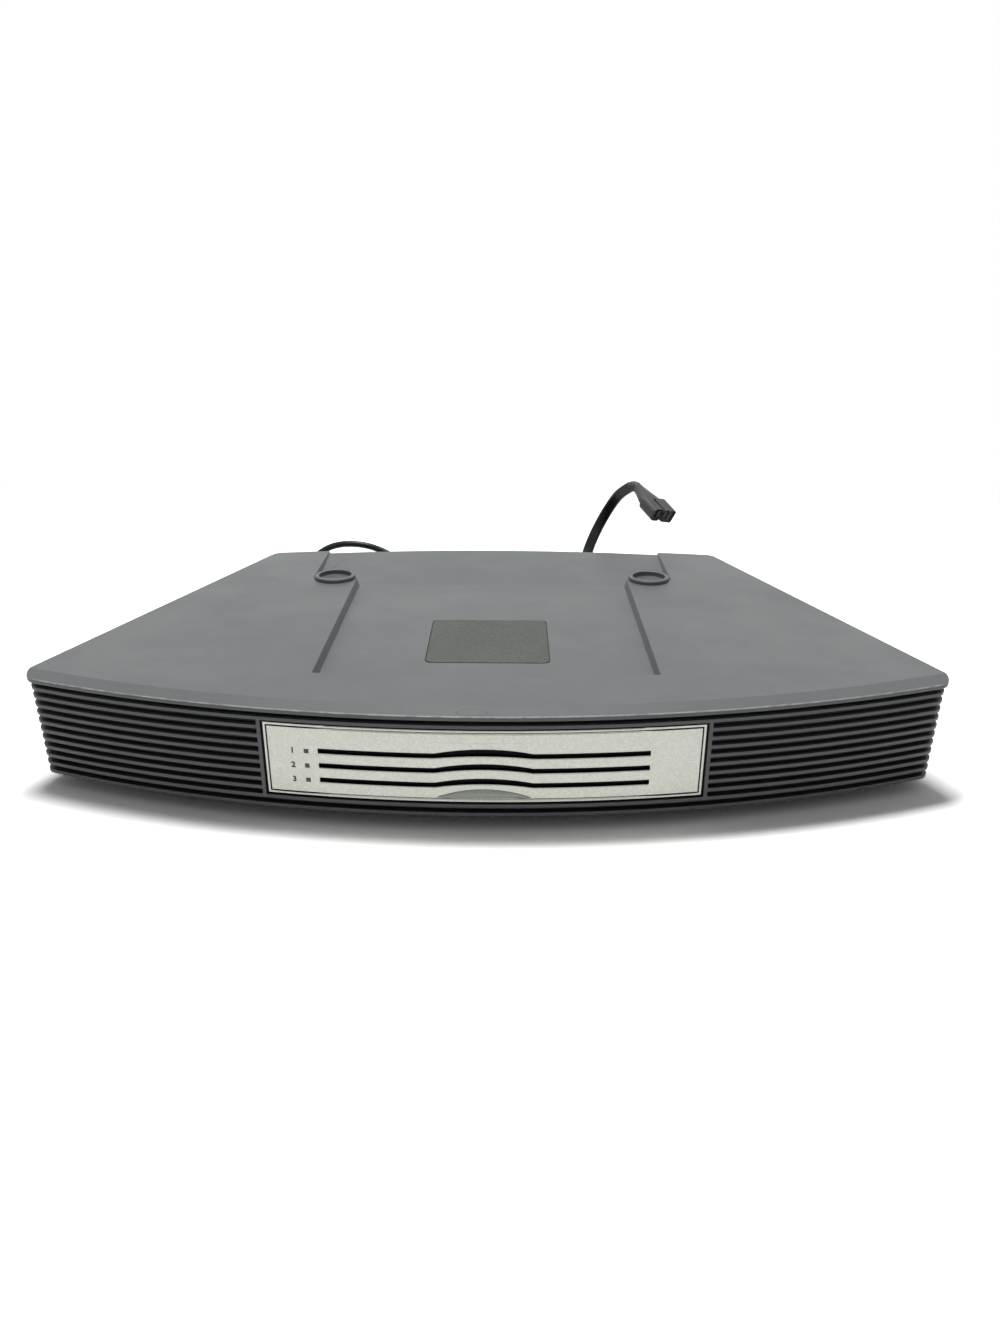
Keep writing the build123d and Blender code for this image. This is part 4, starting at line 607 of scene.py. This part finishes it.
class CHANGER_OT_plug(Operator):
    """Model the flat two-hole plug: a ribbed tail that bends over, a grip and a nose"""
    bl_idname = "changer.plug"
    bl_label = "Flat plug"

    def execute(self, context):
        sizes, look = context.scene.changer_sizes, context.scene.changer_finishes
        start, before = Vector(LINK_ROUTE[-1]), Vector(LINK_ROUTE[-2])
        along = (start - before).normalized()
        axis = along.cross(PLUG_WAY).normalized()
        centre = start + axis.cross(along) * PLUG_BEND
        side = (PLUG_SIDE - PLUG_WAY * PLUG_SIDE.dot(PLUG_WAY)).normalized()

        def frame_at(place, x, z):
            turn = Matrix((x, z.cross(x), z)).transposed().to_4x4()
            return Matrix.Translation(place) @ turn

        bm = bmesh.new()
        tail_r = 2.9 * MM
        verts = bmesh.ops.create_circle(bm, segments=32, radius=tail_r * 0.86,
                                        matrix=frame_at(start, axis, along))["verts"]
        ring = list({edge for vert in verts for edge in vert.link_edges})
        bmesh.ops.holes_fill(bm, edges=ring, sides=0)
        steps = 15
        bend = along.angle(PLUG_WAY)
        grow = [1.163, 1.0, 0.87, 1.0, 1.149] + [1.0, 1.0, 0.87, 1.0, 1.149] * 2
        for k, part in enumerate(grow):
            turn = Matrix.Rotation(bend / steps, 4, axis)
            move = Matrix.Translation(centre) @ turn @ Matrix.Translation(-centre)
            way = Matrix.Rotation(bend * (k + 1) / steps, 3, axis) @ along
            spot = centre - axis.cross(way) * PLUG_BEND
            ring = next_ring(bm, ring, move, frame_at(spot, axis, way), part, part)
        end = centre - axis.cross(PLUG_WAY) * PLUG_BEND
        frame = frame_at(end, side, PLUG_WAY)
        done, wide, high = 0.0, 1.0, 1.0
        nose_at = 15.0 * MM
        half_w, half_h = sizes.plug_width / 2, sizes.plug_thickness / 2
        for at, w, h in ((1.2, 2.9, 2.9), (2.4, 3.4, 3.0), (5.0, 4.4, 3.2), (8.0, 5.6, 3.5),
                         (11.5, 7.2, 3.8), (15.0, 8.3, 3.85), (16.0, 8.0, 3.6)):
            move = Matrix.Translation(PLUG_WAY * (at * MM - done))
            grow_w, grow_h = w * MM / (tail_r * wide), h * MM / (tail_r * high)
            done, wide, high = at * MM, w * MM / tail_r, h * MM / tail_r
            spot = frame_at(end + PLUG_WAY * done, side, PLUG_WAY)
            ring = next_ring(bm, ring, move, spot, grow_w, grow_h)
        bmesh.ops.holes_fill(bm, edges=ring, sides=0)
        reach = (nose_at + sizes.plug_length) / 2
        deep = sizes.plug_length - nose_at
        lobe(bm, frame, (-half_w / 2 - 0.05 * MM, 0, reach), (half_w - 0.4 * MM, 2 * half_h, deep),
             3.3 * MM)
        lobe(bm, frame, (half_w / 2 + 0.05 * MM, 0, reach), (half_w - 0.4 * MM, 2 * half_h, deep),
             1.1 * MM)
        lobe(bm, frame, (0, 0, reach - 0.4 * MM), (half_w, 1.35 * half_h, deep), 0.5 * MM)
        bmesh.ops.recalc_face_normals(bm, faces=bm.faces)
        mouths = [face for face in bm.faces
                  if face.normal.dot(PLUG_WAY) > 0.99 and face.calc_area() > 12 * MM * MM
                  and (face.calc_center_median() - end).dot(PLUG_WAY) > sizes.plug_length * 0.98]
        bmesh.ops.inset_individual(bm, faces=mouths, thickness=0.9 * MM, depth=0.0)
        bmesh.ops.translate(bm, vec=-PLUG_WAY * 1.2 * MM,
                            verts=list({vert for face in mouths for vert in face.verts}))
        for face in bm.faces:
            face.smooth = True
            if face.normal.dot(PLUG_WAY) > 0.9 and (
                    face.calc_center_median() - end).dot(PLUG_WAY) > nose_at:
                face.material_index = 1
        obj = piece("flat_plug", to_mesh(bm, "flat_plug"))
        wear(obj, soft_rubber("plug_rubber", look.plug, 0.5))
        obj.data.materials.append(plain_moulding("plug_face", (0.005, 0.005, 0.005), 0.8))
        obj.data.set_sharp_from_angle(angle=math.radians(40))
        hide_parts("link_plug")
        return {"FINISHED"}


class CHANGER_OT_lid(Operator):
    """Dress the lid with broken edges, graphite paint with wear and a painted highlight along its
    rim, and its two foot cups
    """
    bl_idname = "changer.lid"
    bl_label = "Lid and foot cups"

    def execute(self, context):
        sizes, look = context.scene.changer_sizes, context.scene.changer_finishes
        paint = lid_paint(look)
        wear(softened("top_cover", "lid", sizes.lid_edge), paint)
        for side in ("left", "right"):
            wear(softened(f"foot_cup_{side}", f"cup_{side}", sizes.cup_edge, 3),
                 paint)
        wear(frame["nodes"]["top_pad"], pad_rubber(look))
        return {"FINISHED"}


def crescent(look):
    """The crescent under the slots: a grey-green field in a bright bevelled rim."""
    bm = merged("crescent_inlay")
    rim = [edge for edge in bm.edges if len(edge.link_faces) == 2
           and sum(face.normal.y < -0.8 for face in edge.link_faces) == 1]
    made = bmesh.ops.bevel(bm, geom=rim, offset=RIM_W, offset_type="OFFSET", segments=1,
                           profile=0.5, affect="EDGES", clamp_overlap=True, material=-1)
    for face in made["faces"]:
        face.material_index = 1
    obj = piece("crescent", to_mesh(bm, "crescent"))
    wear(obj, inlay_field(look))
    obj.data.materials.append(plain_moulding("crescent_rim", (0.86, 0.88, 0.85), 0.25))
    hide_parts("crescent_inlay")
    return obj


class CHANGER_OT_front(Operator):
    """Dress the ribbed front, the silver slot plate, its felts, lenses and crescent"""
    bl_idname = "changer.front"
    bl_label = "Front"

    def execute(self, context):
        sizes, look = context.scene.changer_sizes, context.scene.changer_finishes
        wear(softened("front_grille", "ribbed_front", sizes.rib_edge),
             rib_paint(look))
        wear(softened("faceplate", "slot_plate", sizes.plate_edge,
                      shape=bevel_slot_sills),
             plate_paint(look))
        nodes = frame["nodes"]
        wear(nodes["slot_felts"], felt_cloth(look))
        wear(nodes["indicator_lenses"], lens_plastic(look))
        crescent(look)
        wear(nodes["disc_guide"], plain_moulding("guide_moulding", look.black))
        return {"FINISHED"}


class CHANGER_OT_figures(Operator):
    """Print the plain numbers 1 to 3 beside the slots"""
    bl_idname = "changer.figures"
    bl_label = "Numbers"

    def execute(self, context):
        sizes, look = context.scene.changer_sizes, context.scene.changer_finishes
        ink = plain_moulding("number_ink", (0.03, 0.03, 0.03), 0.6)
        low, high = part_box("indicator_lenses")
        step = (high.z - low.z - 1.65 * MM) / 2
        for k in range(3):
            text = bpy.data.curves.new(f"number_{k + 1}", "FONT")
            text.body = str(k + 1)
            text.size = sizes.figure_height * 1.42
            text.extrude = 0.012 * MM
            text.offset = 0.13 * MM
            text.align_x = "CENTER"
            text.align_y = "CENTER"
            text.resolution_u = 3
            source = bpy.data.objects.new("number_source", text)
            context.scene.collection.objects.link(source)
            context.view_layer.update()
            mesh = bpy.data.meshes.new_from_object(source)
            bpy.data.objects.remove(source)
            x, z = -sizes.figure_x, high.z - 0.82 * MM - step * k
            place, facing = front_place(x, z, out=0.014 * MM)
            right = Vector((0, 0, 1)).cross(facing).normalized()
            upward = facing.cross(right).normalized()
            turn = Matrix((right, upward, facing)).transposed().to_4x4()
            mesh.transform(Matrix.Translation(place) @ turn)
            mesh.name = f"number_{k + 1}"
            wear(piece(f"number_{k + 1}", mesh), ink)
        return {"FINISHED"}


class CHANGER_OT_base(Operator):
    """Dress the base, the back panel, the feet, the screws and what the leads go through"""
    bl_idname = "changer.base"
    bl_label = "Base and back"

    def execute(self, context):
        look, nodes = context.scene.changer_finishes, frame["nodes"]
        shell = plain_moulding("base_moulding", look.ribs, 0.46)
        for name in ("base_tray", "rear_panel"):
            wear(nodes[name], shell)
        rubber = soft_rubber("foot_rubber", look.black, 0.7)
        for name in ("rubber_feet", "link_gland", "signal_gland"):
            wear(nodes[name], rubber)
        moulding = plain_moulding("black_moulding", look.black, 0.42)
        for name in ("mains_inlet", "signal_plug"):
            wear(nodes[name], moulding)
        wear(nodes["screws"], plated("screw_plating", (0.30, 0.30, 0.30), 0.35))
        wear(nodes["inlet_pins"], plated("pin_plating", (0.72, 0.68, 0.60), 0.25))
        return {"FINISHED"}


class CHANGER_OT_mechanism(Operator):
    """Dress everything inside the casing"""
    bl_idname = "changer.mechanism"
    bl_label = "Mechanism"

    def execute(self, context):
        look, nodes = context.scene.changer_finishes, frame["nodes"]
        groups = {
            sheet_steel(look): ["mech_chassis", "top_bridge", "traverse_plate", "clamp_arm",
                                "spindle_motor", "sled_motor", "elevator_motor", "lift_motor",
                                "loading_motor"],
            plated("bright_steel", (0.70, 0.70, 0.70), 0.14):
                ["chassis_studs", "elevator_shaft", "lift_shaft", "guide_rod"],
            plated("screw_brass", (0.66, 0.48, 0.22), 0.25): ["lead_screw"],
            plain_moulding("white_gear_plastic", look.white, 0.42):
                ["elevator_cam_left", "elevator_cam_right", "lift_cam_left", "lift_cam_right",
                 "roller_idler_1", "roller_idler_2", "turntable", "clamp_puck",
                 "transfer_lever"],
            plain_moulding("black_slide_plastic", look.black, 0.36):
                ["stocker_frame", "disc_tray_1", "disc_tray_2", "disc_tray_3", "pickup_sled",
                 "clamp_bracket"],
            soft_rubber("roller_rubber", (0.05, 0.045, 0.04), 0.65):
                ["loading_roller_1", "loading_roller_2", "loading_roller_3"],
            board_lacquer(look): ["main_board", "power_board", "indicator_board"],
            plain_moulding("component_black", (0.02, 0.02, 0.022), 0.5): ["board_components"],
            winding_lacquer(look): ["transformer"],
            lens_glass(): ["pickup_lens"],
        }
        for material, names in groups.items():
            for name in names:
                wear(nodes[name], material)
        return {"FINISHED"}


class CHANGER_OT_declare(Operator):
    bl_idname = "changer.declare"
    bl_label = "Lead facts"

    def execute(self, context):
        return {"FINISHED"}


def flat_card(name, width, deep, place):
    bm = bmesh.new()
    bmesh.ops.create_grid(bm, x_segments=1, y_segments=1, size=0.5)
    bmesh.ops.scale(bm, vec=(width, deep, 1.0), verts=bm.verts)
    bmesh.ops.translate(bm, vec=place, verts=bm.verts)
    obj = bpy.data.objects.new(name, to_mesh(bm, name))
    bpy.context.scene.collection.objects.link(obj)
    return obj


# Size and place of the lamp overhead, in metres: a small one keeps the shadow close to the front.
KEY_SIZE = (0.4, 0.2)
KEY_PLACE = (-0.06, 0.12, 1.2)
KEY_TARGET = (0.0, 0.0, 0.03)


def lamp(name, power, size, place, target):
    data = bpy.data.lights.new(name, "AREA")
    data.energy = power
    data.shape = "RECTANGLE"
    data.size, data.size_y = size
    obj = bpy.data.objects.new(name, data)
    bpy.context.scene.collection.objects.link(obj)
    aim = (Vector(target) - Vector(place)).to_track_quat("-Z", "Y").to_matrix().to_4x4()
    obj.matrix_world = Matrix.Translation(place) @ aim
    return obj


def seen_directly(tree):
    """1 for rays from the camera, from a reflection and through glass, else 0."""
    path = tree.nodes.new("ShaderNodeLightPath")
    total = path.outputs["Is Camera Ray"]
    for name in ("Is Glossy Ray", "Is Transmission Ray"):
        add = tree.nodes.new("ShaderNodeMath")
        add.operation = "MAXIMUM"
        tree.links.new(total, add.inputs[0])
        tree.links.new(path.outputs[name], add.inputs[1])
        total = add.outputs[0]
    return total


def table_paint(studio):
    """White table top that is lit near the casing and goes over into plain white further off."""
    graph = Graph("table_top", studio.floor, 0.6, specular=0.2)
    graph.cloud(3.0, 0.01)
    x, y, _ = axes_of(graph)
    away = graph.math("SQRT", graph.math("ADD", graph.math("MULTIPLY", x, x),
                                         graph.math("MULTIPLY", y, y)))
    far = graph.ramp(away, 0.32, 0.70)
    material = graph.done()
    tree, seen = graph.tree, seen_directly(graph.tree)
    more = tree.nodes.new("ShaderNodeBsdfDiffuse")
    more.inputs["Color"].default_value = (studio.lift,) * 3 + (1.0,)
    glow = tree.nodes.new("ShaderNodeEmission")
    glow.inputs["Color"].default_value = (1.0, 1.0, 1.0, 1.0)
    nothing = tree.nodes.new("ShaderNodeMixShader")
    tree.links.new(seen, nothing.inputs[0])
    tree.links.new(more.outputs[0], nothing.inputs[2])
    lifted = tree.nodes.new("ShaderNodeAddShader")
    tree.links.new(graph.shader.outputs[0], lifted.inputs[0])
    tree.links.new(nothing.outputs[0], lifted.inputs[1])
    blend = tree.nodes.new("ShaderNodeMixShader")
    tree.links.new(graph.math("MULTIPLY", far, seen), blend.inputs[0])
    tree.links.new(lifted.outputs[0], blend.inputs[1])
    tree.links.new(glow.outputs[0], blend.inputs[2])
    tree.links.new(blend.outputs[0], tree.nodes["Material Output"].inputs["Surface"])
    return material


class CHANGER_OT_stage(Operator):
    """Lay the white table top and set the soft studio light"""
    bl_idname = "changer.stage"
    bl_label = "Stage"

    def execute(self, context):
        studio = context.scene.changer_studio
        wear(flat_card("floor", 8.0, 8.0, (0.0, 1.0, 0.0)), table_paint(studio))
        world = bpy.data.worlds.new("room")
        world.use_nodes = True
        tree = world.node_tree
        background = tree.nodes["Background"]
        background.inputs["Color"].default_value = (1.0, 1.0, 1.0, 1.0)
        split = tree.nodes.new("ShaderNodeSeparateXYZ")
        tree.links.new(tree.nodes.new("ShaderNodeTexCoord").outputs["Generated"], split.inputs[0])
        dome = tree.nodes.new("ShaderNodeMapRange")
        tree.links.new(split.outputs["Z"], dome.inputs["Value"])
        dome.inputs["To Min"].default_value = studio.sky * 0.35
        dome.inputs["To Max"].default_value = studio.sky
        level = tree.nodes.new("ShaderNodeMapRange")
        tree.links.new(seen_directly(tree), level.inputs["Value"])
        tree.links.new(dome.outputs["Result"], level.inputs["To Min"])
        level.inputs["To Max"].default_value = 1.0
        tree.links.new(level.outputs["Result"], background.inputs["Strength"])
        context.scene.world = world
        lamp("top_light", studio.key, KEY_SIZE, KEY_PLACE, KEY_TARGET)
        context.scene.view_settings.view_transform = "Standard"
        return {"FINISHED"}


STEPS = ("camera", "leads", "plug", "declare", "lid", "front", "figures", "base", "mechanism",
         "stage")


class CHANGER_PT_panel(Panel):
    """Sidebar panel with every step and its settings"""
    bl_idname = "CHANGER_PT_panel"
    bl_label = "Disc changer"
    bl_space_type = "VIEW_3D"
    bl_region_type = "UI"
    bl_category = "Disc changer"

    def draw(self, context):
        for group in ("changer_sizes", "changer_finishes", "changer_studio"):
            settings = getattr(context.scene, group)
            box = self.layout.box()
            for key in settings.bl_rna.properties.keys():
                if key not in ("rna_type", "name"):
                    box.prop(settings, key)
        for step in STEPS:
            self.layout.operator(f"changer.{step}")


CLASSES = (
    ChangerFinishes, ChangerSizes, ChangerStudio, CHANGER_OT_camera, CHANGER_OT_leads,
    CHANGER_OT_plug, CHANGER_OT_declare, CHANGER_OT_lid, CHANGER_OT_front,
    CHANGER_OT_figures, CHANGER_OT_base, CHANGER_OT_mechanism, CHANGER_OT_stage,
    CHANGER_PT_panel,
)


def register():
    for cls in CLASSES:
        bpy.utils.register_class(cls)
    bpy.types.Scene.changer_finishes = PointerProperty(type=ChangerFinishes)
    bpy.types.Scene.changer_sizes = PointerProperty(type=ChangerSizes)
    bpy.types.Scene.changer_studio = PointerProperty(type=ChangerStudio)


def unregister():
    for name in ("changer_finishes", "changer_sizes", "changer_studio"):
        delattr(bpy.types.Scene, name)
    for cls in reversed(CLASSES):
        bpy.utils.unregister_class(cls)


def main():
    register()
    for step in STEPS:
        getattr(bpy.ops.changer, step)()


if __name__ == "__main__":
    main()
